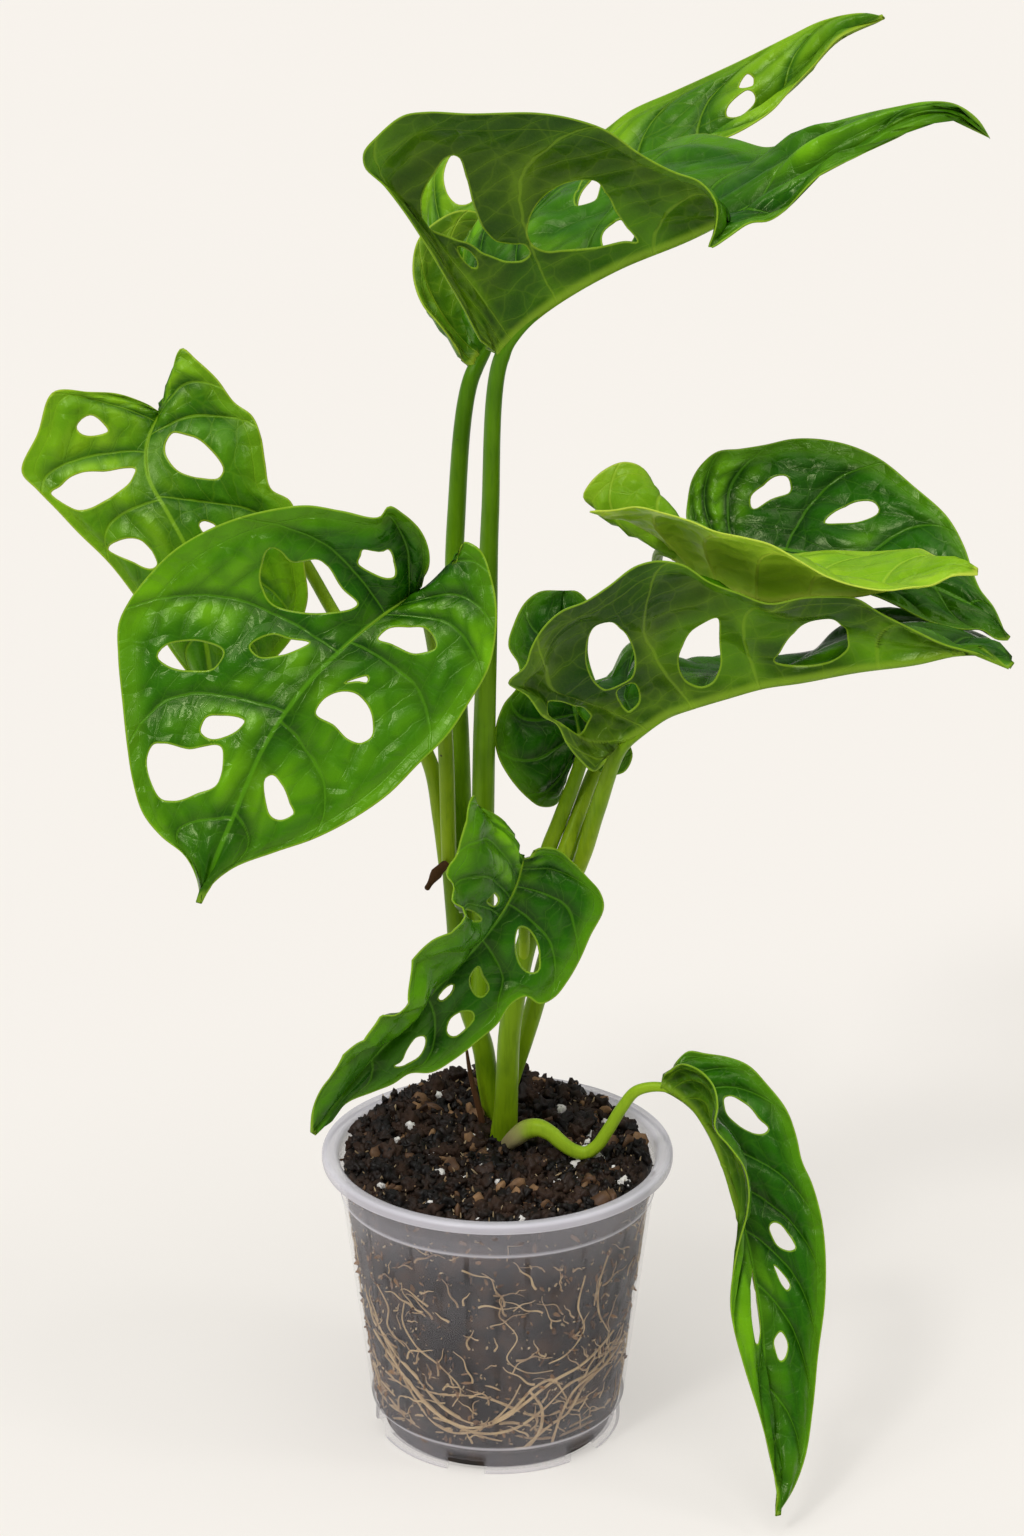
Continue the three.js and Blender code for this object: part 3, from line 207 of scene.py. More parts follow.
FLOOR_GLOW = 0.45
floor_paper, tree, shader = new_material("floor_paper")
tint = blend_colours(tree, grain(tree, 2.0), (0.43, 0.412, 0.388), (0.44, 0.422, 0.398))
fill(tree, shader.inputs, {"Base Color": tint, "Roughness": 0.9, "Specular IOR Level": 0.1,
                           "Emission Color": (1.0, 0.963, 0.910, 1), "Emission Strength": FLOOR_GLOW})
floor.data.materials.append(floor_paper)
print("floor laid")

# %% [markdown]
# ## Light
# The plant stands in soft daylight. The sky is brighter overhead than at the sides, which leaves the leaves
# that face us deep green and gives a pale sheen to those that lie flat. Large soft lamps from the left and
# from above add the broad glints that tell the eye that a leaf is waxy. They stand far away, so the floor
# is lit evenly up to its edge. A narrow lamp beside the wide one sharpens the glints without a hard shadow.

# %% Sky and lamps
SKY_LOW, SKY_HIGH = 0.26, 0.52
LAMPS = {  # strength, spread, turn from the front, height above the floor, the last three in degrees
    "window_left": (0.77, 32, -46, 50),
    "window_gap": (0.68, 9, -34, 46),
    "window_above": (0.8, 40, 25, 76),
    "window_right": (0.3, 12, 75, 42),
}
bpy.context.scene.view_settings.view_transform = "Standard"
sky = bpy.data.worlds.new("sky")
bpy.context.scene.world = sky
sky.use_nodes = True
tree = sky.node_tree
upward = node(tree, "ShaderNodeSeparateXYZ", {0: node(tree, "ShaderNodeTexCoord").outputs["Generated"]})
fill(tree, tree.nodes["Background"].inputs, {
    "Color": (1.0, 0.985, 0.965, 1),
    "Strength": ramp(tree, upward.outputs["Z"], 0.0, 0.9, SKY_LOW, SKY_HIGH)})


def add_lamp(name, strength, spread, turn, height):
    """A soft distant lamp."""
    made = link(name, bpy.data.lights.new(name, "SUN"))
    made.data.energy = strength
    made.data.angle = math.radians(spread)
    turn, height = math.radians(turn), math.radians(height)
    level = math.cos(height)
    towards = Vector((math.sin(turn) * level, -math.cos(turn) * level, math.sin(height)))
    made.rotation_euler = towards.to_track_quat("Z", "Y").to_euler()


for name, settings in LAMPS.items():
    add_lamp(name, *settings)
print("lamps:", list(LAMPS))

# %% [markdown]
# ## Smooth lines
# Margins, ribs and stalks are all lines through a few points. A real edge never kinks, and a plain spline
# swings out where points lie unevenly, so the tangent at each point leans towards its nearer neighbour.

# %% A smooth line through points
CROWDED = 0.75  # below 1, a short span gets more than its share of the line


def line(points):
    """A function from shares of the length to points on a smooth line."""
    points = np.array(points, float)
    spans = np.linalg.norm(np.diff(points, axis=0), axis=1) ** CROWDED
    knots = np.concatenate([[0], np.cumsum(spans)])
    slopes = np.diff(points, axis=0) / spans[:, None]
    before, after = spans[:-1, None], spans[1:, None]
    tangents = np.vstack([slopes[:1], (slopes[:-1] * after + slopes[1:] * before) / (before + after),
                          slopes[-1:]])

    def at(share):
        s = np.clip(np.atleast_1d(share), 0, 1) * knots[-1]
        i = np.clip(np.searchsorted(knots, s) - 1, 0, len(spans) - 1)
        span = spans[i][:, None]
        t = (s - knots[i])[:, None] / span
        return (points[i] * (1 + t * t * (2 * t - 3)) + tangents[i] * span * t * (1 - t) ** 2
                + points[i + 1] * t * t * (3 - 2 * t) + tangents[i + 1] * span * t * t * (t - 1))

    at.shares = knots / knots[-1]
    return at


def closed_ring(points, step):
    """Points every step along a smooth closed line through points."""
    points = [tuple(p) for p in points]
    at = line(points[-2:] + points + points[:3])
    first, last = at.shares[2], at.shares[len(points) + 2]
    length = sum(math.dist(a, b) for a, b in zip(points, points[1:] + points[:1]))
    count = max(8, round(length / step))
    return at(first + (last - first) * np.arange(count) / count)


print("a bend:", line([(0, 0), (1, 0), (1, 1)])([0.5]).round(2))

# %% [markdown]
# ## The ten leaves, as seen
# Each leaf is a rib from the stalk to the tip and two margins, as rows of across, up and near. The cups say
# how far the middle of each half sinks at base, middle and tip. Holes are rings as seen from the front. The
# veins say where along the rib the side veins leave it, and they run between the holes, as they do in
# nature: the holes open in the fields between the veins while the leaf is still rolled up. Patches of
# painted light and painted shade, lighter or deeper than the rest, are listed as w, v, size and amount,
# where w is the share of the length and v that of the half width. Some leaves also say how strongly they
# swell, crumple or pucker. So many rows are easier to read without brackets, so they are text, and two
# short functions read them.

# %% Read rows of numbers
def rows(text):
    """Rows of numbers, with a comma between rows."""
    return [tuple(float(number) for number in row.split()) for row in text.split(",")]


def leaf(text):
    """A leaf as a dict, from entries with a colon after their name and a semicolon between them."""
    made = {"left_holes": [], "right_holes": []}
    for entry in text.split(";"):
        label, numbers = (part.strip() for part in entry.split(":"))
        key = label.replace(" ", "_")
        if label.endswith("hole"):
            made[key + "s"].append(rows(numbers))
        elif label.endswith("veins"):
            made[key] = list(rows(numbers)[0])
        else:
            made[key] = rows(numbers) if " " in numbers else float(numbers)
    return made


print("a row:", rows("1 2.5 3"))

# %% Leaf outlines, holes and veins
# The lighter and deeper patches listed for each leaf are painted light and painted shade.
LEAVES = {
    "leaf_left_front": leaf("""
    rib: -28 189 16, -38 182.5 22, -54.5 169 32, -68.5 154 40, -80 136.5 46, -89 116 51, -96.5 98 55,
      -101.2 82.8 58;
    left: -25.5 189 18, -18.7 193.2 20, -14 199.5 21, -11.7 206.7 21, -6.5 204.5 22, -2 194 26,
      -0.3 182.5 31, -3 164 36, -9.5 152.5 39, -17 141 42, -27 131 45, -37.5 120.5 48, -50 112 51,
      -63 105.5 53, -76 101 54, -91 95 56, -97.5 89.5 58, -101.2 82.8 58;
    right: -27.6 192 16, -23.8 197 19, -23.4 203 22, -26 210 25, -32 216 29, -37 218.5 33, -40 215 32,
      -53.5 217 28, -65 219 26, -76 218 24, -89 215 21, -100 210.5 18, -110.5 204 17, -119 195.5 18,
      -125.5 187 20, -129.3 179 22, -129.5 168 26, -128 151.5 33, -126.5 137.5 39, -124.5 125 44,
      -121 114 48, -115 106.5 51, -107 100 54, -103 92.5 56, -101.2 82.8 58;
    cup: 0.1 0.12 0.08, 0.12 0.12 0.08;
    left hole: -41 173.5, -38 176.5, -30 177.5, -24 177, -20.5 170.5, -25 168.5, -29 168.3, -36 171.5;
    left hole: -52.6 158.6, -48 160.3, -44.2 160.8, -44.6 158.8, -48 159;
    left hole: -62.5 149, -60 153, -55 155.5, -49.5 155.5, -45 152, -42.5 145, -43 140, -46 138.2,
      -51 139.2, -56 144;
    left hole: -79.5 126.5, -77.5 127.5, -74 124.5, -71 118, -70 113.5, -73 112, -78 114;
    right hole: -46.5 203, -45 205, -38.5 205, -36.5 196, -41 196.5, -47 199;
    right hole: -80 200, -77 205.5, -74 204.5, -69 200.5, -62 201.5, -58 199, -53 191, -48 185.3,
      -50 183.8, -62 182.3, -76 185, -80 191;
    right hole: -116 167.5, -113 171.5, -107 173, -100 172.5, -93 168.5, -96 163.5, -105 162.5, -113 164.5;
    right hole: -84 171, -77 175, -71 173.5, -64 172.2, -70 168.6, -80 166.7;
    right hole: -101 142, -99.5 146, -94 147.3, -86 145, -88.5 142, -95 139, -99.5 140;
    right hole: -120 132, -118 137, -114 137.8, -105 136, -93 135.5, -94.5 125, -103 120.5, -111 118.2,
      -116 120;
    glow: 0.12 0.4 0.16 -0.5, 0.35 0 0.13 -0.35, 0.38 0.75 0.18 0.35, 0.5 -0.6 0.2 0.45,
      0.72 -0.5 0.15 0.35, 0.8 0.5 0.15 0.3, 0.97 0 0.1 0.3;
    left veins: 0.04 0.11 0.19 0.255 0.39 0.64 0.83;
    right veins: 0.04 0.1 0.25 0.435 0.62 0.84"""),
    "leaf_left_back": leaf("""
    swell: 1.2;
    rib: -115 251 -42, -119.6 241 -34, -119.6 230 -27, -112 215.5 -18, -106 204 -14, -101 180 -10,
      -96 150 -12;
    left: -114 252 -42, -112.5 260 -43, -108 273 -45, -103 269 -43, -96 262.5 -41, -90 254.5 -39,
      -84 250 -37, -81 243 -34, -79.5 234 -31, -77.5 225 -28, -71 221 -27, -68 212 -25, -66 198 -22,
      -65 187 -20, -69 176 -17, -80 163 -14, -96 150 -12;
    right: -116 252 -42, -121 254.5 -41, -130 257.5 -39, -140 258 -36, -151.5 258 -34, -157 244 -32,
      -162.4 230.5 -30, -157 224.5 -28, -150 217.5 -26, -143 210 -24, -133 200 -20, -124.5 189 -17,
      -117 178 -14, -109 166 -13, -96 150 -12;
    cup: 0.06 0.08 0.06, 0.06 0.08 0.06;
    left hole: -113.5 240, -111 244, -106 243, -98 238, -93.5 231.5, -95 228.5, -101 228, -109 230,
      -113.5 236;
    left hole: -102.5 212, -100 214, -96.5 212.5, -97 210, -101 209.5;
    right hole: -144 246.2, -139.5 250.3, -136.5 249, -133 244.5, -138 243, -142.5 244;
    right hole: -152.5 223, -149 226, -142 230.5, -133 231, -123.5 231.5, -125 227, -135 220, -144.5 218;
    right hole: -133 204, -130 207, -120 207, -115.5 200, -117 198, -126 201;
    glow: 0.35 -0.3 0.12 -0.3, 0.3 0.9 0.2 0.4, 0.6 0.5 0.15 0.2, 0.15 0.3 0.1 -0.2;
    left veins: 0.05 0.14 0.23 0.5 0.68 0.82;
    right veins: 0.05 0.13 0.32 0.51 0.71 0.85"""),
    "leaf_top_front": leaf("""
    swell: 2.4;
    rib: -0.3 271 -3, 4.5 277 -1, 12 283.7 1, 22 290.8 3, 41 301.2 6, 66 311.3 9, 92 324.5 12, 120 339 15,
      147 353.2 16, 160 352 17, 168.6 344.5 17;
    left: 0.6 272.5 -6, -3 284 -12, -12 303 -26, -8 315 -36, 1 324 -44, 12 330 -50, 30 335 -54, 48 338 -52,
      60 344 -46, 68.8 345.8 -40, 80.5 344 -32, 92 341 -22, 99 343 -14, 106.8 347.7 -8, 121.4 352.8 2,
      136 356 10, 147.7 357.5 14, 156.5 356.5 16, 164 351.5 17, 168.6 344.5 17;
    right: -3 271 -1, -6.8 277 3, -11.8 286.5 7, -19 298.7 13, -32 319 20, -39 328 24, -45.8 335 26,
      -46 340 27, -41.5 345.5 28, -32 352.8 28, -24.7 353.8 28, -10 353 28, 14.8 352.8 27, 26.4 350.6 27,
      36.7 347 26, 48.3 339 25, 60 333 24, 69.5 329.5 25, 75 322 28, 74.5 313 30, 72.5 307.4 30,
      78 310.8 29, 86.4 316.2 27, 92.2 316.5 26, 98 320 24, 102.5 325 22, 109 331.6 21, 121.5 338 20,
      136 344.5 18, 150.7 351.5 17, 162 349.3 17, 168.6 344.5 17;
    cup: -0.12 -0.12 -0.04, -0.1 -0.1 -0.04;
    left hole: 28.5 319, 29.5 325, 33 329.5, 37 328, 33.5 321;
    left hole: 37 306.5, 38 312, 42.5 315, 47 309.5, 44 306.5;
    right hole: -26 321, -24.2 328, -20.5 333.3, -17 337, -14.3 337.6, -10.5 331, -7.3 320, -4 313,
      0 309.8, 5 309, 9.5 309, 11.3 306, 8.5 302.6, 5 302, 0 303, -5 305.2, -10 308.4, -14.5 310,
      -20 312.2, -24.2 315.2;
    right hole: 16.5 306, 12 309, 10.2 313, 12 320, 17.5 325.5, 25 328.6, 33 328.4, 37 324, 41 317,
      47.5 309, 44 309, 37 307.5, 29 306.3, 22 305.8;
    right hole: -13.4 306.8, -11.5 303, -8.6 300, -6.5 299.8, -7 302.6, -9.5 305.6;
    glow: 0.12 -0.1 0.12 -0.4, 0.3 0.6 0.15 -0.1, 0.52 -0.6 0.16 0.4, 0.9 0 0.2 0.9;
    left veins: 0.03 0.08 0.14 0.24 0.4 0.56 0.7 0.84;
    right veins: 0.03 0.065 0.11 0.16 0.345 0.54 0.68 0.82"""),
    "leaf_top_back": leaf("""
    rib: -9.8 266.5 -22, -4 273 -26, 8 289 -38, 32 312 -54, 60 335 -64, 74 344.8 -66, 84 350.5 -67,
      96 358.8 -68, 106 367.5 -68, 116 378 -68, 133 386 -66;
    left: -9.4 269.5 -25, -14 284 -38, -22 300 -50, -26 318 -60, -26 332 -67, -20 341 -72, -10 345 -77,
      2 344 -82, 16 341 -86, 35 346 -89, 45.4 353.5 -88, 60 360.4 -88, 80 370.3 -84, 100 380.2 -78,
      111 385 -74, 125.8 387.4 -69, 133 386 -66;
    right: -12 268.5 -21, -13.6 272.5 -19, -20 281 -19, -26 288 -23, -29.3 299 -31, -27.3 310 -38,
      -20 317 -44, -13 320 -47, -4 319 -50, 12 317.5 -53, 36 319 -56, 56 333 -57, 70 342.5 -55,
      80 346.2 -55, 88 350.5 -57, 94 354.7 -59, 100 361.5 -61, 107 369 -63, 117 379.8 -65, 133 386 -66;
    cup: -0.1 -0.1 -0.05, -0.1 -0.1 -0.05;
    left hole: 78.8 351.5, 79.8 355, 85.5 359.8, 88.2 359.6, 88 356, 84 352.6;
    left hole: 83 361.3, 85.8 365.8, 88.2 364.8, 88.2 361.6;
    left hole: 28 318.5, 29.3 326, 33 330.5, 38 330, 37 323, 33 319.5;
    left hole: -18 334, -17.2 326, -13.2 320.8, -8 322.6, -5 331, -9 339, -15 340;
    glow: 0.12 0 0.15 -0.35, 0.6 -0.3 0.2 -0.15;
    left veins: 0.05 0.12 0.2 0.34 0.44 0.58 0.69 0.84;
    right veins: 0.05 0.12 0.2 0.3 0.4 0.52 0.65 0.8"""),
    "leaf_right_back": leaf("""
    rib: 72 206 -44, 84 206 -42, 100 204 -37, 125 199 -26, 145 193 -15, 160 186 -7, 169 180 -2,
      174.6 173.2 2;
    left: 70 208 -46, 65 213.5 -50, 65 221 -54, 66.5 228 -57, 69.9 233.4 -60, 75 237.5 -62, 83 238.5 -64,
      92 240 -65, 100 241.8 -65, 108.3 242 -63, 119.4 240 -59, 130 235.4 -53, 142.7 225.3 -42,
      153.8 215.2 -31, 159.5 205 -22, 162 198 -17, 164.8 191 -11, 170 184 -4, 174.6 173.2 2;
    right: 72 204 -43, 70 198 -42, 73 190 -38, 84 186 -30, 102 186.5 -20, 115 189.5 -14, 127.5 188.4 -8,
      137.6 184.8 -2, 147.7 179.8 3, 158.9 177 5, 166 177 5, 171 173.8 4, 174.6 173.2 2;
    cup: 0.08 0.1 0.06, 0.08 0.1 0.06;
    left hole: 86.5 221.5, 90 224.5, 95 228, 99 228.3, 100.7 225.5, 100 222.5, 94 220, 87.5 217;
    left hole: 112 212.8, 118 218, 124 220, 129 219.7, 130.8 217.5, 129 215, 122 212.5;
    glow: 0.12 -0.5 0.16 -0.4, 0.4 0 0.2 -0.2, 0.78 0.2 0.16 0.3;
    left veins: 0.05 0.12 0.2 0.42 0.62 0.76 0.88;
    right veins: 0.05 0.14 0.24 0.36 0.5 0.64 0.8"""),
    "leaf_right_young": leaf("""
    rib: 58 204.5 -14, 65 199 -8, 74 193 -2, 84 190 3, 93 187 7, 103 188.5 11, 113 188.6 14, 124 189 17,
      135 191.5 20, 147 194.5 23, 156 197 26, 164.5 195.5 28;
    left: 57 206.5 -16, 53 212 -16, 42 216.5 -18, 32 219 -18, 29.3 222 -18, 31 226 -18, 36.6 231.4 -20,
      43.2 234 -20, 48.7 232.6 -20, 51.8 229 -20, 55 217 -20, 63 208 -20, 76 203 -20, 88 202 -19,
      101 202 -18, 112.4 203.5 -16, 127.6 203.8 -12, 137.7 204.8 -6, 144.3 205 2, 150 202 12, 155 201 20,
      164.5 195.5 28;
    right: 56.5 205.5 -12, 53 211 -6, 46 215 2, 38 217 8, 31.5 217.8 12, 39.6 218.2 16, 47.7 219 20,
      55.8 216.7 24, 65.9 213.2 28, 74 209.6 31, 84 207.6 34, 93 205.6 36, 102.3 201 38, 112.4 195.5 39,
      122.6 192 38, 133.7 190.4 37, 141 191.5 36, 147.9 192.4 34, 155 195.5 31, 164.5 195.5 28;
    cup: -0.08 -0.08 -0.04, -0.12 -0.12 -0.04;
    glow: 0.1 0 0.18 -0.8, 0.6 0.2 0.25 0.55;
    left veins: 0.06 0.15 0.25 0.37 0.5 0.64 0.8;
    right veins: 0.06 0.15 0.25 0.37 0.5 0.64 0.8"""),
    "leaf_right_front": leaf("""
    swell: 3;
    rib: 42 139 8, 50 143.5 9, 58 148.4 10, 66.6 151.2 12, 77.7 154.3 14, 91.7 158 16, 103.4 159.6 18,
      122.6 163 22, 142.8 165.5 26, 158 168.5 28, 168 168 29, 175.3 163 30;
    left: 42 141 5, 36 142 -3, 29 146 -14, 26.5 152 -24, 31 158.5 -32, 38 161 -37, 44 171 -41, 52 175 -43,
      58 170 -44, 64 163.5 -43, 76 162 -42, 95 166 -40, 108 168.5 -37, 117 172 -35, 124 179 -33,
      131 183 -31, 139 182.7 -27, 146 181.5 -23, 153 180 -17, 160 178 -9, 168 174 5, 172 170 16,
      175.3 163 30;
    right: 40 138 10, 36 130.5 12, 33 128.5 13, 28 132.5 14, 23.5 138 16, 20 144.5 18, 15.5 147 20,
      10 154 23, 3.5 158.8 25, 9.4 165 27, 11.5 171 28, 16 178 29, 22 183 30, 30 186 30, 38 191 30,
      47.7 198 30, 55 199.7 30, 63 198.5 30, 72 193 30, 82 189.5 30, 93 186 30, 104 188 30, 114 188.4 30,
      122.6 187.6 30, 130.7 182.8 30, 142.8 176.8 30, 153 172.2 30, 165 168.8 30, 175.3 163 30;
    cup: -0.12 -0.12 -0.04, -0.1 -0.12 -0.04;
    right hole: 30.5 165, 31.5 172.5, 34.5 177.3, 38 178.5, 43 175.5, 46 171, 47 166, 45.5 160.5, 38 157,
      33 159.5;
    right hole: 41 156, 42 151.5, 45 148.5, 48 150.5, 48.5 155, 46.5 158.4;
    right hole: 62 166, 65 172, 70 177, 74.5 180, 76 170, 76 163, 73.5 158.5, 69.5 157, 65 158.5, 62.5 162;
    right hole: 95 165, 96.5 169, 101 174, 107 178.5, 113 180.5, 118 178, 119.5 173, 119 168.5, 114 165.5,
      104 163.8;
    right hole: 17 148, 18.5 152, 22 152, 26 150.5, 31 148.5, 33 146, 31.5 142.5, 29 141, 25 142.5, 21 145;
    glow: 0.2 0.6 0.18 -0.6, 0.42 0.75 0.08 -0.4, 0.15 -0.3 0.1 0.2, 0.6 0.4 0.16 0.35, 0.85 0.3 0.12 0.3;
    left veins: 0.05 0.12 0.2 0.3 0.42 0.55 0.7 0.85;
    right veins: 0.04 0.08 0.205 0.39 0.56 0.78 0.9"""),
    "leaf_right_inner": leaf("""
    rib: 29 136 -16, 27 146 -28, 24.5 158 -40, 22.5 170 -49, 21.5 181 -57, 22 190 -62;
    left: 27.5 136 -17.5, 24 126 -20, 20 117 -19, 15 116.5 -16, 10 119.8 -13, 4.5 126 -12, 0.3 133.7 -13,
      -0.8 140.7 -16, 2 151 -22, 7 158 -27, 7 165 -33, 4 171 -38, 6 179 -45, 10 186.5 -52, 14 189.5 -56,
      22 190 -62;
    right: 30.5 136 -18, 36 127.5 -19, 43 128 -16, 46 134 -16, 42 143 -24, 37 151 -34, 33 160 -44,
      31 169 -51, 31.5 178 -56, 31 186 -59, 27 190 -61, 22 190 -62;
    cup: -0.08 -0.1 -0.05, -0.08 -0.1 -0.05;
    glow: 0.5 0 0.4 -0.2;
    left veins: 0.06 0.16 0.28 0.42 0.58 0.76;
    right veins: 0.06 0.16 0.28 0.42 0.58 0.76"""),
    "leaf_low_front": leaf("""
    swell: 1; crumple: 3.2;
    rib: 8.5 98.5 20, 7 91 22, 3.2 82.7 25, -1.6 75.5 28, -8 68 31, -14.5 61 34, -21.8 53.6 37, -27 47 39,
      -38.7 35 43, -45 28.6 46, -53 19.7 49, -64 4.7 54;
    left: 10 99.5 19, 12.9 100.8 18, 17.7 102 16, 21.5 101 14, 25.8 97.3 13, 30.6 92.4 12, 35 87.2 13,
      36.3 82.5 14, 31.5 72 17, 28 64 20, 24 57 23, 19.4 51.3 26, 14.5 49 28, 9 51.5 30, 4 48.4 32,
      0 42.4 34, -6.5 36.7 36, -14.5 30.3 38, -22.6 25.5 40, -29.8 25 41, -35.5 21.4 43, -42.7 18.5 45,
      -51.6 15 48, -58 8.5 51, -64 4.7 54;
    right: 7 100 21, 4.8 102.5 23, 4.2 106 25, 0 113.4 29, -4 117.4 32, -6.8 120.4 35, -9.7 118 38,
      -11.7 113.4 40, -12.8 106 42, -13.5 99 44, -15.3 95 46, -13.8 90 47, -15.7 83.5 49, -13 80 50,
      -17.7 76 51, -22.6 72 53, -25.4 67.4 54, -27.6 61 55, -32 52 56, -35 44.5 57, -40 41.5 57,
      -46 38.3 57, -51.6 31 57, -59 21.4 56, -63 12.5 55, -64 4.7 54;
    cup: 0.08 0.08 0.04, -0.12 -0.12 -0.04;
    left hole: 5 72, 6.5 75.5, 9.5 75, 11.5 73, 13.5 65, 13 61, 10.5 60, 6.5 63.5;
    left hole: -9.9 59, -7.5 62, -5.5 59, -3.5 53.5, -5 52, -8.3 53;
    left hole: -20.5 51, -17.5 55, -15.5 56, -16.5 53, -19.5 50.3;
    left hole: -17.5 40, -16.5 43.5, -13 46.5, -9 46.5, -8.3 44, -11 41, -14 38.5;
    left hole: -36 28.8, -34 30, -32 34, -29 38, -25.5 38.5, -25 35, -27.5 31, -32 28.6;
    right hole: -3.5 84.5, -2 87, -0.5 85.5, -1.5 82.5;
    right hole: -12.5 79.3, -9 80.5, -5.5 77.5, -9.5 77.3;
    glow: 0.25 -0.4 0.15 -0.25, 0.15 0.6 0.15 0.5, 0.6 0.6 0.2 0.6, 0.9 0 0.14 0.4, 0.3 -0.95 0.2 0.2;
    left veins: 0.05 0.12 0.22 0.3 0.45 0.66 0.83;
    right veins: 0.05 0.12 0.2 0.28 0.355 0.48 0.62 0.78"""),
    "leaf_trailing": leaf("""
    rib: 56 22 14, 61.5 19 17, 67.5 14 21, 73 5.5 26, 77.3 -4.7 31, 80.9 -16.7 36, 84 -27 41, 87 -40 46,
      90 -58 53, 91.5 -78 61, 94 -97 69, 96 -112 76, 95 -126.5 82;
    left: 58 24 12, 61 29.5 9, 65 32.6 8, 71 32 7, 79 30.7 8, 85.6 28 10, 92 21.5 13, 98.7 12.8 17,
      102 4 21, 104 -4.7 25, 107.4 -12.3 29, 110.7 -24.3 34, 112 -36.3 39, 111.8 -52.7 46, 109.6 -71 54,
      108 -88.7 62, 105.2 -106 71, 101 -117 77, 95 -126.5 82;
    right: 57 24 17, 60 27.2 20, 63.8 28.6 25, 70.3 25.8 31, 74.7 20.4 37, 75.9 14 41, 75 6.5 44,
      79.5 0.5 47, 84.3 -7 50, 85.6 -14.5 52, 84.6 -23 52, 82 -32 52, 80.2 -42 53, 79.6 -53.8 56,
      80.7 -61.4 58, 84.5 -75.6 63, 90 -93 70, 94 -108 76, 96 -119 80, 95 -126.5 82;
    cup: 0.08 0.1 0.05, -0.12 -0.08 0;
    left hole: 76.8 14, 77.3 16.5, 80 17, 85 14, 89 9, 92 6.5, 91 4.5, 88 4, 82 6.5, 78 10;
    left hole: 92.5 -28, 94 -25.8, 97 -27, 101.5 -34, 100 -35.5, 95 -33;
    left hole: 94 -40.5, 97 -43, 99.8 -47, 98.5 -49, 96 -46;
    left hole: 93.6 -67, 94.6 -64, 96.4 -63.2, 98.5 -67, 97.5 -71.5, 95 -72.5;
    right hole: 84.8 -48, 86 -41, 86.9 -44, 88 -50, 88.8 -58, 88.6 -67, 87.3 -66, 85.5 -57;
    glow: 0.45 -0.3 0.15 -0.3, 0.2 -0.5 0.12 0.1, 0.8 0 0.2 0.45;
    left veins: 0.05 0.12 0.19 0.38 0.47 0.575 0.67 0.82;
    right veins: 0.05 0.12 0.2 0.3 0.42 0.54 0.76 0.88"""),
}
hole_count = sum(len(leaf["left_holes"]) + len(leaf["right_holes"]) for leaf in LEAVES.values())
print("leaves:", len(LEAVES), "holes:", hole_count)

# %% [markdown]
# ## The surface of a leaf
# A leaf is a ruled sheet: at each share w of its length a straight spoke runs from the rib to the margin,
# v = -1 on the left, 0 on the rib and 1 on the right. Cups bend the spokes, and the spokes lean forward
# towards the margin as side veins do. Because everything on the leaf is written in w and v, veins, holes
# and puckers follow the blade wherever it bends.

# %% Surface of a leaf
VEIN_SWEEP = 0.1
RIB_CROWDING = 1.6  # above 1, the spokes start closer together near the stalk
STEADY = (0.12, 0.95)  # where the rib's direction is read, clear of its two ends
TINY = 1e-9


def unit(vectors):
    """The vectors with length 1."""
    return vectors / np.maximum(np.linalg.norm(vectors, axis=1), TINY)[:, None]


class Surface:
    def __init__(self, leaf):
        self.leaf = leaf
        self.rib = line(seen(leaf["rib"]))
        self.margins = [line(seen(leaf["left"])), line(seen(leaf["right"]))]
        base, middle, tip, centre, left, right = self.at(np.array([0.02, 0.5, 0.98, 0.45, 0.45, 0.45]),
                                                         np.array([0, 0, 0, 0, -1, 1]))
        self.length = math.dist(base, middle) + math.dist(middle, tip)
        self.width = (math.dist(centre, left) + math.dist(centre, right)) / 2

    def spokes(self, w, v):
        """How far out each place is, its share u of rib and margin, and its spoke's start and reach."""
        away = np.abs(v)
        u = w + VEIN_SWEEP * away ** 1.5 * 4 * w * (1 - w)
        middle = self.rib(np.clip(u, 0, 1) ** RIB_CROWDING)
        side = np.where((v < 0)[:, None], self.margins[0](u), self.margins[1](u)) - middle
        return away, u, middle, side

    def at(self, w, v):
        """Real points in mm of the bent sheet."""
        away, u, middle, side = self.spokes(w, v)
        steady = np.clip(u, *STEADY)
        ahead = self.rib((steady + 0.02) ** RIB_CROWDING) - self.rib((steady - 0.02) ** RIB_CROWDING)
        upper = unit(np.cross(side, ahead) * np.where(v < 0, -1, 1)[:, None])
        base, mid, tip = np.where((v < 0)[:, None], self.leaf["cup"][0], self.leaf["cup"][1]).T
        cup = base * (1 - u) * (1 - 2 * u) + mid * 4 * u * (1 - u) + tip * u * (2 * u - 1)
        sunk = -cup * np.linalg.norm(side, axis=1) * 2 * away * (1 - away)
        return middle + upper * sunk[:, None] + side * away[:, None]

    def normal(self, w, v):
        along = self.at(np.minimum(w + 0.01, 1), v) - self.at(np.maximum(w - 0.01, 0), v)
        across = self.at(w, np.minimum(v + 0.05, 1)) - self.at(w, np.maximum(v - 0.05, -1))
        return unit(np.cross(across, along))

    def reach(self, w, v):
        """Length of the spoke through each place, in mm."""
        return np.linalg.norm(self.spokes(w, v)[3], axis=1)


surfaces = {name: Surface(leaf) for name, leaf in LEAVES.items()}
for name, surface in surfaces.items():
    print(f"{name}: {surface.length:.0f} mm long, {2 * surface.width:.0f} mm wide")

# %% [markdown]
# The holes are written as they are seen, so they have to be found on the bent sheet. The nearest place of a
# coarse grid is a good guess. From there every point tries ever smaller moves along and across the leaf
# and keeps the best, until it is seen where it should be.

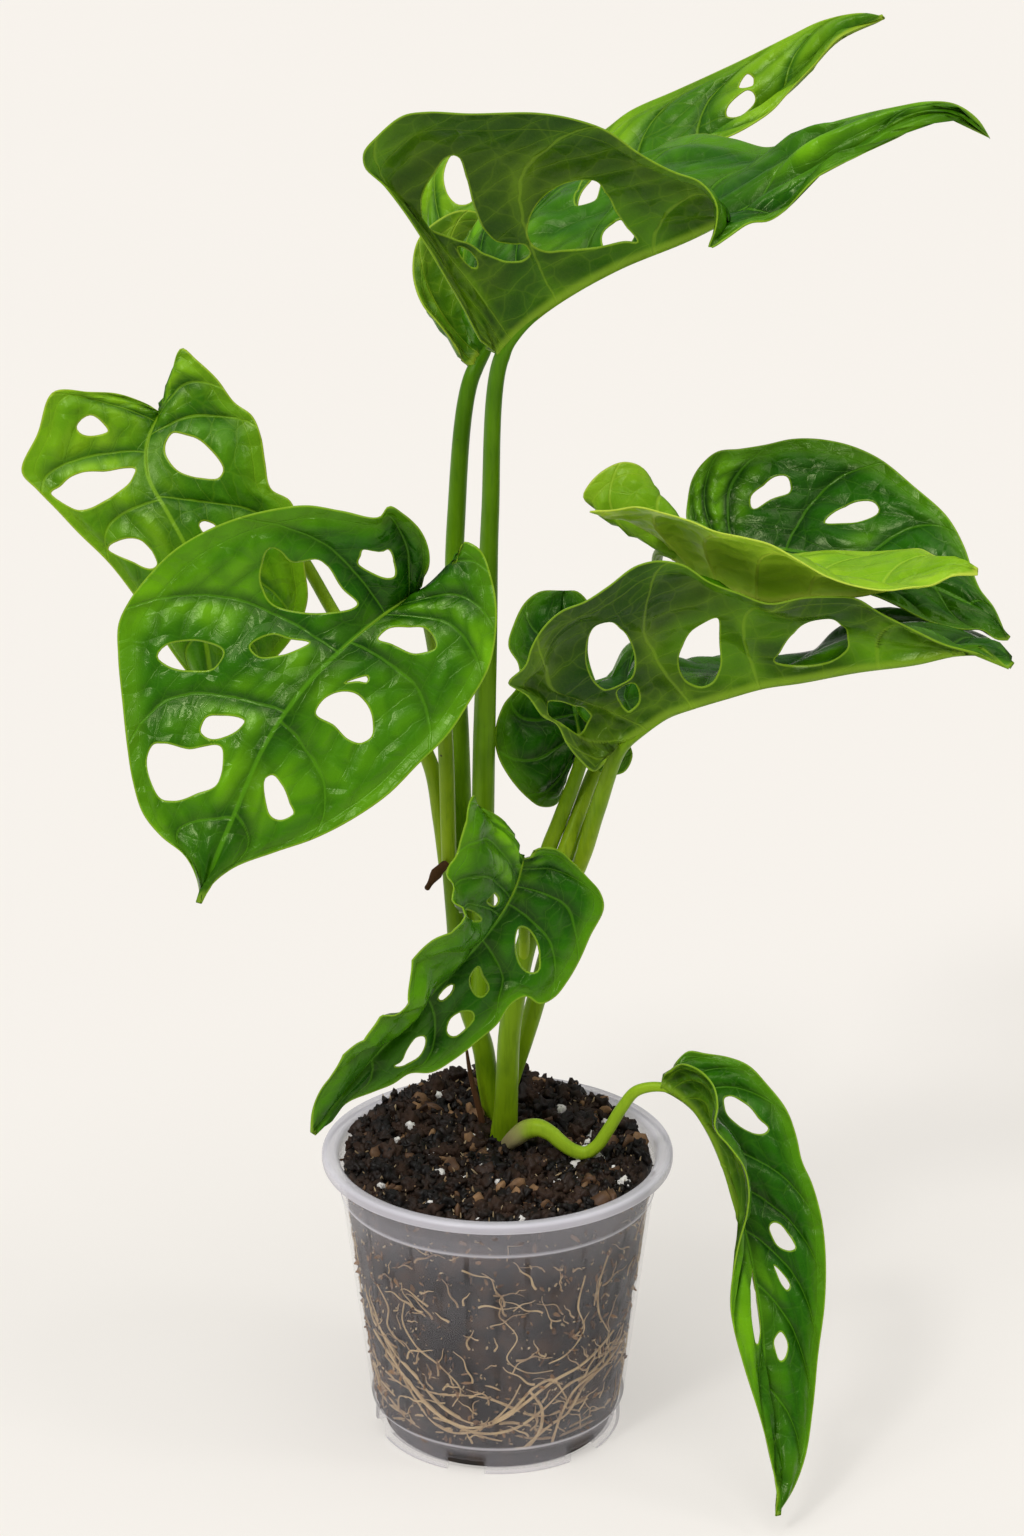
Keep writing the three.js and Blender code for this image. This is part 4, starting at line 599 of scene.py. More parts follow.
# %% Find seen points on a leaf
GRID_W, GRID_AWAY = (g.ravel() for g in np.meshgrid(np.arange(0.04, 0.97, 0.04), np.arange(0.06, 1, 0.08)))
MOVES = [(0, 0), (1, 0), (-1, 0), (0, 2), (0, -2), (1, 2), (-1, -2), (1, -2), (-1, 2)]
FIRST_MOVE, LAST_MOVE, SHRINK = 0.03, 0.0008, 0.6


def place_of(surface, half, points):
    """The w and v at which points of one half are seen."""
    points = np.array(points, float)
    views = in_view(surface.at(GRID_W, half * GRID_AWAY))
    nearest = ((points[:, None] - views) ** 2).sum(2).argmin(1)
    w, away = GRID_W[nearest], GRID_AWAY[nearest]
    step = FIRST_MOVE
    while step > LAST_MOVE:
        for _ in range(3):
            tries = [(np.clip(w + a * step, 0.03, 0.96), np.clip(away + b * step, 0.07, 0.93))
                     for a, b in MOVES]
            misses = [((in_view(surface.at(x, half * y)) - points) ** 2).sum(1) for x, y in tries]
            best = np.argmin(misses, axis=0)
            w = np.choose(best, [x for x, _ in tries])
            away = np.choose(best, [y for _, y in tries])
        step *= SHRINK
    return np.column_stack([w, half * away])


print("grid of first guesses:", len(GRID_W), "places a half")

# %% [markdown]
# ## Veins and puckers
# Between two side veins the blade bulges upwards, because it grows faster than the veins that hold it.
# Smaller cross veins quilt each field again. One function gives the place of any spot among the veins: how
# many side veins lie before it, how far out it is along its field, and how wide the field is there. Shape
# and colour both read it, so that shading, bulges and vein lines always agree.

# %% Where a spot lies among the veins
ENDS = (0.015, 0.995)  # the shares of the length between which the blade is meshed
HEM = 0.9  # the share of the half width at which the outermost vein runs along the margin
CROSS_STEP = 8.0
VEIN_BEND = 0.05
ARCH = 0.45
STAGGER = 0.31


def vein_bend(away):
    """How far along the leaf a side vein has bent where it is that far from the rib."""
    return VEIN_BEND * np.maximum(0, (away - 0.5) / 0.5) ** 2


def vein_place(surface, w, v, half):
    """Number of side veins passed, cross veins passed, and the field's width in mm, on one half."""
    starts = np.array([-0.02] + surface.leaf["left_veins" if half < 0 else "right_veins"] + [1.06])
    away = np.abs(v)
    bent = w - vein_bend(away)
    number = np.interp(bent, starts, np.arange(len(starts)))
    gap = np.interp(bent, (starts[1:] + starts[:-1]) / 2, np.diff(starts))
    reach = surface.reach(w, half * np.maximum(away, 0.05))
    gap_mm = gap * (surface.length * 0.75 + 0.6 * reach * away)
    return number, away * reach / CROSS_STEP, gap_mm


print("veins a side:", [len(leaf["left_veins"]) for leaf in LEAVES.values()])

# %% [markdown]
# The height of the blade is a sum of plain waves. Fields rise between side veins, the quilt between cross
# veins, and the hem is a groove along the margin. Sway keeps the leaf from being flat between its points.
# Crumples are sharper and swells broader, and only some leaves have them.

# %% Bulges of a leaf
FIELD_RISE, FIELD_LIMIT = 0.095, 1.45
QUILT = 0.9
HEM_DEPTH, HEM_WIDTH = 0.35, 0.035


def bump_between(x):
    """0 on whole numbers and 1 midway, with a round top and steep foot."""
    return np.sin(np.pi * (x % 1.0)) ** 0.8


def smooth_step(x, low, high):
    t = np.clip((x - low) / (high - low), 0, 1)
    return t * t * (3 - 2 * t)


def swell_wave(w, v):
    """Broad bumps and hollows, from -1 to 1, that cross the side veins."""
    return np.sin(21 * w + 4 * v) * np.cos(5.5 * v + 3 * w)


def crumple_wave(w, away):
    """Sharp folds, from -1 to 1, that fade out before the base and the tip."""
    folds = np.arcsin(np.sin(40 * w + 5 * away + 1.3 * np.sin(9 * w))) * 2 / np.pi
    return (folds * smooth_step(away, 0.1, 0.7) * smooth_step(w, 0.02, 0.12)
            * (1 - smooth_step(w, 0.55, 0.92)))


def relief(surface, w, v, half):
    """How far the blade bulges up, in mm, on one half."""
    number, out, gap = vein_place(surface, w, v, half)
    away = np.abs(v)
    inside = smooth_step(away, 0.02, 0.2) * (1 - smooth_step(away, HEM - 0.1, HEM + 0.02))
    field = np.minimum(gap * FIELD_RISE, FIELD_LIMIT) * bump_between(number) * inside
    skewed = out + ARCH * np.abs((number + 0.5) % 1.0 - 0.5) * 2 + STAGGER * np.floor(number)
    quilt = QUILT * bump_between(number) * bump_between(skewed) * inside
    hem = -HEM_DEPTH * np.exp(-((away - HEM) / HEM_WIDTH) ** 2)
    sway = 0.5 * np.sin(9 * w + 3.1 * v + 1.0) + 0.35 * np.sin(17 * w - 5 * v)
    crumple = surface.leaf.get("crumple", 0.0) * (half > 0) * crumple_wave(w, away)
    swell = surface.leaf.get("swell", 0.0) * swell_wave(w, v)
    return (surface.leaf.get("pucker", 1.0) * (field + quilt + hem) + crumple
            + sway * smooth_step(away, 0.05, 0.4) + swell * inside * smooth_step(away, 0.1, 0.45))


print("leaves that swell:", [name for name, leaf in LEAVES.items() if "swell" in leaf])

# %% [markdown]
# ## Meshing a leaf
# The blade is meshed flat, in w and v, where it is a plain rectangle with smooth holes. Points go along the
# margins, round the holes, down the rib and out along the side veins, and then everywhere between, thinned
# so that they lie evenly on the bent leaf and not on the flat one. A Delaunay triangulation joins them
# without crossing a margin, a hole or the rib.

# %% Points that keep their distance
MARGIN_STEP = 1.35
CELL = 1.55  # mm, wider than any distance that is asked for


class Net:
    """The flat points kept of a leaf, sorted into cells by where they lie on the bent one."""

    def __init__(self, surface):
        self.surface = surface
        self.size = np.array([surface.length, surface.width])
        self.points, self.cells = [], {}

    def keep(self, flat, clear=0):
        """Keeps each flat point that is at least that clear of the rest, measured on the bent leaf."""
        real = self.surface.at(flat[:, 0] / self.size[0], flat[:, 1] / self.size[1])
        for spot, point in zip(flat, real):
            x, y, z = (point // CELL).astype(int)
            near = [q for dx in (-1, 0, 1) for dy in (-1, 0, 1) for dz in (-1, 0, 1)
                    for q in self.cells.get((x + dx, y + dy, z + dz), ())]
            if clear and near and min(((q - point) ** 2).sum() for q in near) < clear ** 2:
                continue
            self.cells.setdefault((x, y, z), []).append(point)
            self.points.append(spot)

    def keep_places(self, w, v, clear=0):
        self.keep(np.column_stack([w, v]) * self.size, clear)


def ring_inset(ring, distance):
    """The ring moved sideways, away from its own middle where distance is positive."""
    ahead = np.roll(ring, -1, axis=0) - np.roll(ring, 1, axis=0)
    sideways = unit(np.column_stack([ahead[:, 1], -ahead[:, 0]]))
    x, y = ring.T
    turns = np.sum(x * np.roll(y, -1) - y * np.roll(x, -1))
    return ring + sideways * distance * np.sign(turns)


def margin_places(surface, v):
    """Evenly spaced places along one margin."""
    w = np.linspace(*ENDS, 400)
    points = surface.at(w, np.full_like(w, v))
    travel = np.concatenate([[0], np.cumsum(np.linalg.norm(np.diff(points, axis=0), axis=1))])
    return np.interp(np.arange(0, travel[-1], MARGIN_STEP), travel, w)


left_margin = margin_places(surfaces["leaf_left_front"], -1)
print("left front leaf:", len(left_margin), "points along its left margin")

# %% [markdown]
# The outline and the holes come first, because every triangle has to respect them, and then the rib. Rows
# just inside each edge, beside the rib and along the veins give rims and grooves triangles of their own,
# and a plain grid fills what is left.

# %% Rows of points on a leaf
HOLE_STEP = 1.15
RIB_STEP = 1.6
VEIN_STEP = 1.3
GRID_STEP = 0.9
INSET = 0.75
BESIDE_RIB = (0.8, 1.7, 2.8)
BESIDE_VEIN = (0, 0.8, -0.8)
EDGE_CLEAR, RIB_CLEAR, VEIN_CLEAR, GRID_CLEAR = 0.5, 0.55, 0.6, 1.3
HALVES = ((-1, "left"), (1, "right"))


def outline_of(surface):
    """Places round the blade, anticlockwise on the flat sheet."""
    left, right = margin_places(surface, -1), margin_places(surface, 1)
    return np.array([(w, -1) for w in left] + [(ENDS[1], v) for v in (-1, -0.5, 0, 0.5, 1)]
                    + [(w, 1) for w in right[::-1]] + [(ENDS[0], v) for v in (0.5, 0, -0.5)])


def net_points(surface):
    """All flat points of a leaf, the rings that bound it, and how many points the rib has."""
    net = Net(surface)
    size = net.size
    holes = [closed_ring(place_of(surface, half, ring) * size, HOLE_STEP)
             for half, side in HALVES for ring in surface.leaf[side + "_holes"]]
    rings = [outline_of(surface) * size, *holes]
    net.keep(np.vstack(rings))
    w = np.linspace(*ENDS, round(surface.length / RIB_STEP))[1:-1]
    net.keep_places(w, 0 * w)
    for ring in holes:
        net.keep(ring_inset(ring, INSET), EDGE_CLEAR)
    for half in (1, -1):
        net.keep_places(w, half * (1 - INSET / surface.reach(w, np.full_like(w, half))), EDGE_CLEAR)
    for offset in BESIDE_RIB:
        for half in (-1, 1):
            v = offset / surface.reach(w, np.full_like(w, half * 0.1))
            net.keep_places(w[v < 0.6], half * v[v < 0.6], RIB_CLEAR)
    for half, side in HALVES:
        for start in surface.leaf[side + "_veins"]:
            v = np.arange(0.06, HEM, VEIN_STEP / surface.width)
            for shift in BESIDE_VEIN:
                net.keep_places(start + vein_bend(v) + shift / surface.length, half * v, VEIN_CLEAR)
    columns = np.arange(ENDS[0] * size[0] + 1, ENDS[1] * size[0] - 1, GRID_STEP)
    rows = np.arange(-size[1] + 0.8, size[1] - 0.8, GRID_STEP)
    grid = [(x, y + i % 2 * GRID_STEP / 2) for i, x in enumerate(columns) for y in rows]
    net.keep(np.array(grid), GRID_CLEAR)
    return np.array(net.points), rings, len(w)


print("rows beside the rib, in mm:", BESIDE_RIB)

# %% [markdown]
# The triangulation fills the holes too, so each triangle whose middle lies inside a hole is taken out: a
# line from there to the side crosses the hole's ring an odd number of times. Slivers go as well.

# %% Join the points
SLIVER = 1e-7


def inside_ring(centres, ring):
    """Which centres lie inside a closed ring."""
    x, y = ring.T
    x2, y2 = np.roll(x, -1), np.roll(y, -1)
    spans = (y > centres[:, 1:]) != (y2 > centres[:, 1:])
    meets = (x2 - x) * (centres[:, 1:] - y) / np.where(y2 == y, TINY, y2 - y) + x
    return (spans & (centres[:, :1] < meets)).sum(1) % 2 == 1


def flat_net(surface):
    """Places on a leaf, as rows of w and v, and the triangles between them."""
    points, rings, rib_count = net_points(surface)
    starts = np.cumsum([0] + [len(ring) for ring in rings])
    edges = [(a, a + 1 if a + 1 < end else begin) for begin, end in zip(starts[:-1], starts[1:])
             for a in range(begin, end)]
    edges += [(i, i + 1) for i in range(starts[-1], starts[-1] + rib_count - 1)]
    points, _, faces, *_ = delaunay_2d_cdt([Vector(p) for p in points], edges, [], 1, 1e-4)
    flat = np.array([tuple(p) for p in points])
    faces = np.array([f for f in faces if len(f) == 3])
    centres = flat[faces].mean(1)
    outside = np.zeros(len(faces), bool)
    for ring in rings[1:]:
        outside |= inside_ring(centres, ring)
    faces = faces[~outside]
    a, b, c = (flat[faces[:, i]] for i in range(3))
    turned = (b[:, 0] - a[:, 0]) * (c[:, 1] - a[:, 1]) - (b[:, 1] - a[:, 1]) * (c[:, 0] - a[:, 0])
    faces, turned = faces[np.abs(turned) > SLIVER], turned[np.abs(turned) > SLIVER]
    faces[turned < 0] = faces[turned < 0][:, ::-1]
    used = np.unique(faces)
    index = np.full(len(flat), -1)
    index[used] = np.arange(len(used))
    return flat[used] / [surface.length, surface.width], index[faces]


print("the net is ready for", len(surfaces), "leaves")

# %% [markdown]
# ## Body of a leaf
# The sheet now gets its body: top and underside are two copies of it, closed by a rounded edge, for a real
# leaf is thin, but its edge still catches the light. Both share the bulges. The rib and the side veins lie
# in fine grooves on top and stand out as ridges below, thickest where the stalk joins.

# %% Ridges, grooves and the rim
HALF_BLADE = 0.32
EDGE_HALF = HALF_BLADE * 0.75
EDGE_ROUNDING = 0.22
RIB_RIDGE, RIB_RIDGE_WIDTH, RIB_GROOVE = 1.9, 2.1, 0.45
SIDE_RIDGE, SIDE_GROOVE, SIDE_WIDTH = 0.6, 0.2, 0.75


def ridge_and_groove(w, away, from_rib, from_vein):
    """How far the veins stand out below and lie in on top, in mm."""
    clear = smooth_step(away, 0.0, 0.05) * (1 - smooth_step(away, HEM - 0.05, HEM + 0.03))
    vein = np.exp(-(from_vein / SIDE_WIDTH) ** 2) * clear
    taper = 1 - w
    rib = np.exp(-(from_rib / (RIB_RIDGE_WIDTH * taper ** 0.8 + 0.7)) ** 2)
    ridge = (RIB_RIDGE * taper ** 1.2 + 0.3) * rib + SIDE_RIDGE * vein * (1 - 0.6 * away)
    groove = (RIB_GROOVE * taper + 0.15) * np.exp(-(from_rib / 0.9) ** 2) + SIDE_GROOVE * vein
    return ridge, groove


def rim_edges(faces):
    """The edges that only one triangle has, as pairs of points."""
    sides = {}
    for a, b, c in faces:
        sides[a, b] = sides[b, c] = sides[c, a] = True
    return [(p, q) for p, q in sides if (q, p) not in sides]


def over_the_rim(surface, place, at, rim, edge):
    """Directions on the bent leaf that lead out over its rim, one for each edge point."""
    outward = np.zeros_like(place)
    for p, q in rim:
        along = place[q] - place[p]
        sideways = np.array([along[1] * surface.width, -along[0] * surface.length])
        outward[p] += sideways
        outward[q] += sideways
    beyond = place[edge] + unit(outward[edge]) * 0.5 / [surface.length, surface.width]
    return unit(surface.at(*beyond.T) - at[edge])


print("blade", 2 * HALF_BLADE, "mm thick")

# %% [markdown]
# The material has to know where it is on the leaf. The distances to the nearest edge, to the rib and to
# the hem vein are stored as attributes, in millimetres. Two numbers that say where a spot lies among the
# veins go into a UV map, because it can have a seam where the two halves count their veins apart.

# %% Measures for the material
# How strongly painted light and painted shade follow the swells of a leaf.
SWELL_SHADING = 0.13


def add_attribute(mesh, name, values):
    mesh.attributes.new(name, "FLOAT", "POINT").data.foreach_set("value", np.asarray(values, np.float32))


def distance_to(points, others):
    """The distance from each point to the nearest of the others."""
    tree = KDTree(len(others))
    for i, p in enumerate(others):
        tree.insert(p, i)
    tree.balance()
    return np.array([tree.find(p)[2] for p in points])


def painted_shading_of(leaf, w, v):
    """How much painted light (above 0) and painted shade (below 0) each place of a leaf has."""
    patches = sum(amount * np.exp(-((w - w0) ** 2 + (v - v0) ** 2 / 4) / size ** 2)
                  for w0, v0, size, amount in leaf["glow"])
    # Painted light where a swell rises and painted shade where it sinks.
    return patches + SWELL_SHADING * leaf.get("swell", 0.0) * swell_wave(w, v)


def add_vein_map(mesh, sizes, v, left, right):
    """Writes the numbers of the half that a face lies on into a UV map; sizes are the faces' corners."""
    corner_points = np.empty(len(mesh.loops), int)
    mesh.loops.foreach_get("vertex_index", corner_points)
    starts = np.concatenate([[0], np.cumsum(sizes)[:-1]])
    face_v = np.add.reduceat(v[corner_points], starts) / sizes
    on_left = np.repeat(face_v < 0, sizes)
    uv = np.where(on_left[:, None], left[corner_points], right[corner_points])
    mesh.uv_layers.new(name="veins").data.foreach_set("uv", uv.astype(np.float32).ravel())


print("glowing patches:", sum(len(leaf["glow"]) for leaf in LEAVES.values()))

# %% [markdown]
# Now the top, the underside and the rounded edge are joined into one closed mesh with its measures.

# %% The whole blade
def leaf_mesh(name, surface):
    place, faces = flat_net(surface)
    w, v = place.T
    on_left = v < 0
    away = np.abs(v)
    at, normal = surface.at(w, v), surface.normal(w, v)
    reach = surface.reach(w, np.where(away < 0.05, np.where(on_left, -0.05, 0.05), v))
    left, right = (vein_place(surface, w, v, half) for half in (-1, 1))
    number, _, gap = np.where(on_left, left, right)
    from_rib = away * reach
    from_vein = np.abs((number + 0.5) % 1.0 - 0.5) * gap
    bulge = np.where(on_left, relief(surface, w, v, -1), relief(surface, w, v, 1))
    bulge = np.where(away < 0.02, 0, bulge)
    ridge, groove = ridge_and_groove(w, away, from_rib, from_vein)
    top = at + normal * (HALF_BLADE + bulge - groove)[:, None]
    under = at + normal * (-HALF_BLADE + bulge - ridge)[:, None]

    rim = rim_edges(faces)
    edge = np.unique([p for p, _ in rim])
    push = over_the_rim(surface, place, at, rim, edge)
    middle = at[edge] + normal[edge] * bulge[edge][:, None] + push * EDGE_ROUNDING
    top[edge] = at[edge] + normal[edge] * (bulge[edge] + EDGE_HALF)[:, None]
    under[edge] = at[edge] + normal[edge] * (bulge[edge] - EDGE_HALF)[:, None]

    n = len(top)
    spot = {p: 2 * n + i for i, p in enumerate(edge)}
    corners = [(a, c, b) for a, b, c in faces] + [(n + a, n + b, n + c) for a, b, c in faces]
    for p, q in rim:
        corners += [(n + q, n + p, spot[p], spot[q]), (spot[q], spot[p], p, q)]
    mesh = bpy.data.meshes.new(name)
    mesh.from_pydata(np.vstack([top, under, middle]) * MM, [], [tuple(map(int, c)) for c in corners])
    mesh.shade_smooth()

    def on_all(values):
        """The values of the top, given to the underside and the rounded edge too."""
        return np.concatenate([values, values, values[edge]])

    # The patches and swells also leave painted light and painted shade on every place.
    measures = {"rim": distance_to(at, at[edge]), "from_rib": from_rib, "hem": (HEM - away) * reach,
                "gap": gap, "glow": painted_shading_of(surface.leaf, w, v)}
    for label, values in measures.items():
        add_attribute(mesh, label, on_all(values))
    add_attribute(mesh, "under", np.concatenate([np.zeros(n), np.ones(n), np.full(len(edge), 0.5)]))
    add_vein_map(mesh, np.array([len(c) for c in corners]), on_all(v),
                 on_all(np.column_stack(left[:2])), on_all(np.column_stack(right[:2])))
    return mesh


print("a blade has a top, an underside and a rounded edge between them")

# %% [markdown]
# ## Leaf finish
# A leaf is drawn deep green along its veins, which is painted shade in their grooves, and lighter in the
# fields between them, which is painted light on the bulges, with a fine net of veins and a thin pale edge.
# Its top is waxy and its underside is duller and more olive. One recipe makes all three leaf finishes,
# since young leaves differ only in their colours. Veins are drawn from the UV map and the attributes, so
# they stay sharp at any distance. The first part of the recipe finds the lines.

# %% Lines and fields between the veins
COARSE_CELLS, FINE_CELLS = 95.0, 520.0  # cells a metre


def vein_distances(tree, where):
    """How far a spot is from its side vein, cross vein and hem vein, in mm, a little wobbly."""
    uv = node(tree, "ShaderNodeSeparateXYZ", {0: node(tree, "ShaderNodeUVMap", uv_map="veins")})
    wobble = times_plus(tree, grain(tree, 140, 2, where), 0.5, -0.25)
    number = times_plus(tree, wobble, 0.10, uv.outputs["X"])
    out = times_plus(tree, wobble, 0.6, uv.outputs["Y"])
    out = times_plus(tree, maths(tree, "PINGPONG", uv.outputs["X"], 0.5), ARCH * 2, out)
    out = times_plus(tree, maths(tree, "FLOOR", uv.outputs["X"]), STAGGER, out)
    to_side = times(tree, maths(tree, "PINGPONG", number, 0.5), attribute(tree, "gap"))
    to_cross = times(tree, maths(tree, "PINGPONG", out, 0.5), CROSS_STEP)
    to_hem = maths(tree, "ABSOLUTE", times_plus(tree, wobble, 1.5, attribute(tree, "hem")))
    return to_side, to_cross, to_hem


def net_cells(tree, where):
    """How far a spot is from the edge of its coarse cell and of its fine one, in cells."""
    drift = node(tree, "ShaderNodeTexNoise", {"Vector": where, "Scale": 90.0}).outputs["Color"]
    drift = node(tree, "ShaderNodeVectorMath", {0: drift, "Scale": 0.006}, operation="SCALE")
    warped = node(tree, "ShaderNodeVectorMath", {0: drift, 1: where}, operation="ADD")
    return [node(tree, "ShaderNodeTexVoronoi", {"Vector": warped, "Scale": scale},
                 feature="DISTANCE_TO_EDGE").outputs["Distance"] for scale in (COARSE_CELLS, FINE_CELLS)]


def leaf_marks(tree, where):
    """Vein lines, quilted fields and pillowed cells of a leaf, each from 0 to 1."""
    to_side, to_cross, to_hem = vein_distances(tree, where)
    coarse, fine = net_cells(tree, where)
    pillow = ramp(tree, coarse, 0.0, 0.32)
    lines = [(ramp(tree, to_side, 0.12, 0.5, 1, 0), 1.0), (ramp(tree, to_hem, 0.08, 0.4, 1, 0), 0.6),
             (ramp(tree, to_cross, 0.03, 0.35, 1, 0), 0.42), (ramp(tree, coarse, 0.0, 0.05, 1, 0), 0.27),
             (ramp(tree, fine, 0.0, 0.1, 1, 0), 0.096)]
    strongest = 0.0
    for drawn, strength in lines:
        strongest = maths(tree, "MAXIMUM", times(tree, drawn, strength), strongest)
    crossways = times_plus(tree, ramp(tree, to_cross, 0.0, 2.6), 0.5, 0.5)
    return strongest, times(tree, ramp(tree, to_side, 0.2, 3.2), crossways), pillow


print("cells a metre:", COARSE_CELLS, FINE_CELLS)

# %% [markdown]
# Colour is built up in thin coats: the body between deep and middle green, deeper by the veins as painted
# shade in their grooves and lighter on the pillows as painted light, more painted light on the raised
# fields, painted shade beside the rib, then the veins and the rib. Patches of painted light and painted
# shade lie over both sides. The underside has coats of its own, among them painted shade in the hollows
# between its raised veins, and an attribute says which ones a spot shows.

# %% Coats of colour
def coat(tree, colour, over, share, strength):
    """The colour with another over it, as thick as share times strength."""
    return blend_colours(tree, times(tree, share, strength), colour, over)


def top_colour(tree, tones, where, marks, patches, glow):
    lines, quilted, pillow = marks
    rib = attribute(tree, "from_rib")
    # Deeper by the side and cross veins and lighter on the pillows: painted shade in the grooves and
    # painted light on the bulges. Random patches and the painted light and shade patches come on top.
    share = times_plus(tree, pillow, 0.22, times(tree, quilted, 0.5))
    share = times_plus(tree, patches, 0.28, share)
    share = times_plus(tree, glow, 0.8, share)
    share = maths(tree, "MINIMUM", maths(tree, "MAXIMUM", share, 0.0), 1.0)
    colour = blend_colours(tree, share, tones["deep"], tones["middle"])
    # Painted light on the raised fields and pillows, and from the lighter painted patches.
    painted_light = times(tree, ramp(tree, grain(tree, 22, 2, where), 0.5, 0.72), quilted)
    painted_light = times_plus(tree, maths(tree, "MAXIMUM", glow, 0.0),
                  times_plus(tree, pillow, 0.5, 0.5), painted_light)
    painted_light = maths(tree, "MINIMUM", times(tree, painted_light, 0.8), 1.0)
    colour = blend_colours(tree, painted_light, colour, tones["bright"])
    colour = coat(tree, colour, tones["bright"], ramp(tree, attribute(tree, "hem"), -2.0, 5.0, 1, 0), 0.35)
    # Painted shade in the groove beside the rib.
    colour = coat(tree, colour, tones["deep"], ramp(tree, rib, 1.0, 8.0, 1, 0), 0.5)
    colour = coat(tree, colour, tones["vein"], lines, 0.42)
    return coat(tree, colour, tones["vein"], ramp(tree, rib, 0.35, 1.0, 1, 0), 0.6)


def under_colour(tree, tones, marks, patches, glow):
    lines, quilted, pillow = marks
    colour = coat(tree, tones["under"], tones["middle"], patches, 0.6)
    # Deeper in the fields between the raised veins: painted shade in the hollows.
    share = times_plus(tree, quilted, 0.55, times(tree, pillow, 0.15))
    colour = blend_colours(tree, share, colour, tones["deep"])
    # Painted shade and painted light from the patches and swells.
    for over, strength in (("deep", -1.2), ("bright", 0.8)):
        share = maths(tree, "MAXIMUM", times(tree, glow, strength), 0.0)
        colour = blend_colours(tree, share, colour, tones[over])
    colour = coat(tree, colour, tones["edge"], lines, 0.3)
    return coat(tree, colour, tones["edge"], ramp(tree, attribute(tree, "from_rib"), 0.9, 2.8, 1, 0), 0.6)


print("coats: body, light, hem, rib and veins")

# %% Leaf materials
PLANT_SHEEN = (0.85, 1.0, 0.5, 1)  # wax that shines a little green


def leaf_finish(name, tones, roughness):
    material, tree, shader = new_material(name)
    where = on_piece(tree)
    marks = leaf_marks(tree, where)
    lines, _, pillow = marks
    patches = ramp(tree, grain(tree, 30, 3, where), 0.35, 0.65)
    # The painted light and painted shade of the patches and swells, read back from the mesh.
    glow, is_under = attribute(tree, "glow"), attribute(tree, "under")
    colour = blend_colours(tree, is_under, top_colour(tree, tones, where, marks, patches, glow),
                           under_colour(tree, tones, marks, patches, glow))
    colour = coat(tree, colour, tones["edge"], ramp(tree, attribute(tree, "rim"), 0.1, 0.6, 1, 0), 0.7)
    dull = times_plus(tree, grain(tree, 60, 4, where), 0.24, roughness - 0.12)
    dull = times_plus(tree, is_under, 0.04, dull)
    height = times_plus(tree, lines, -0.35, times(tree, pillow, 0.75))
    height = times_plus(tree, grain(tree, 1100, 2, where), 0.10, height)
    height = times_plus(tree, grain(tree, 240, 2, where), 0.28, height)
    fill(tree, shader.inputs, {"Base Color": colour, "Roughness": dull, "Specular IOR Level": 0.25,
                               "Specular Tint": PLANT_SHEEN, "Normal": bump(tree, height, 0.0007, 0.75)})
    return material


GREEN = dict(deep=(0.003, 0.038, 0.0008), middle=(0.018, 0.122, 0.001), bright=(0.16, 0.42, 0.004),
             under=(0.090, 0.185, 0.004), vein=(0.09, 0.29, 0.006), edge=(0.26, 0.44, 0.02))
LIGHT = dict(deep=(0.014, 0.085, 0.001), middle=(0.062, 0.22, 0.002), bright=(0.24, 0.48, 0.008),
             under=(0.15, 0.28, 0.008), vein=(0.22, 0.43, 0.012), edge=(0.36, 0.50, 0.03))
YOUNG = dict(deep=(0.17, 0.38, 0.007), middle=(0.20, 0.42, 0.007), bright=(0.38, 0.62, 0.02),
             under=(0.52, 0.78, 0.05), vein=(0.42, 0.62, 0.04), edge=(0.60, 0.72, 0.08))
finishes = {
    "leaf_green": leaf_finish("leaf_green", GREEN, roughness=0.27),
    "leaf_light": leaf_finish("leaf_light", LIGHT, roughness=0.30),
    "leaf_young": leaf_finish("leaf_young", YOUNG, roughness=0.38),
}
print("finishes:", list(finishes))

# %% Make the leaves
SLOTS = {part["node"]: part["material_slot"] for part in frame["record"]["subparts"]}


def settle(piece, *nodes, slot=None):
    """Hangs a finished piece under the root and hides the parts of the model that it stands for; the slot
    is not used.
    """
    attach(piece, "root")
    if nodes:
        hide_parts(*nodes)
    slot or SLOTS[nodes[0]]


for name, surface in surfaces.items():
    mesh = leaf_mesh(name, surface)
    mesh.materials.append(finishes[SLOTS[name]])
    settle(link(name.replace("leaf", "blade"), mesh), name)
    print(name, len(mesh.polygons), "faces")

# %% [markdown]
# ## Tubes along paths
# Stems, leaf stalks and roots are all round bodies that follow a path, so one Geometry Nodes tree makes
# them. A path is a row of points with a thickness and a tone at each. The tree turns it into a curve, gives
# it its thickness, sweeps a ring with a shallow channel along it and closes the ends. The result is turned
# into a plain mesh at once, so nothing is left to compute later.

# %% Helpers for Geometry Nodes
SOCKETS = {int: "NodeSocketInt", float: "NodeSocketFloat", type(None): "NodeSocketMaterial"}


def new_tree(name, **inputs):
    """A Geometry Nodes tree with a named input for each size; returns it and its input node."""
    tree = bpy.data.node_groups.new(name, "GeometryNodeTree")
    tree.interface.new_socket("Geometry", in_out="INPUT", socket_type="NodeSocketGeometry")
    for label, value in inputs.items():
        made = tree.interface.new_socket(label, in_out="INPUT", socket_type=SOCKETS[type(value)])
        if value is not None:
            made.default_value = value
    tree.interface.new_socket("Geometry", in_out="OUTPUT", socket_type="NodeSocketGeometry")
    return tree, tree.nodes.new("NodeGroupInput").outputs


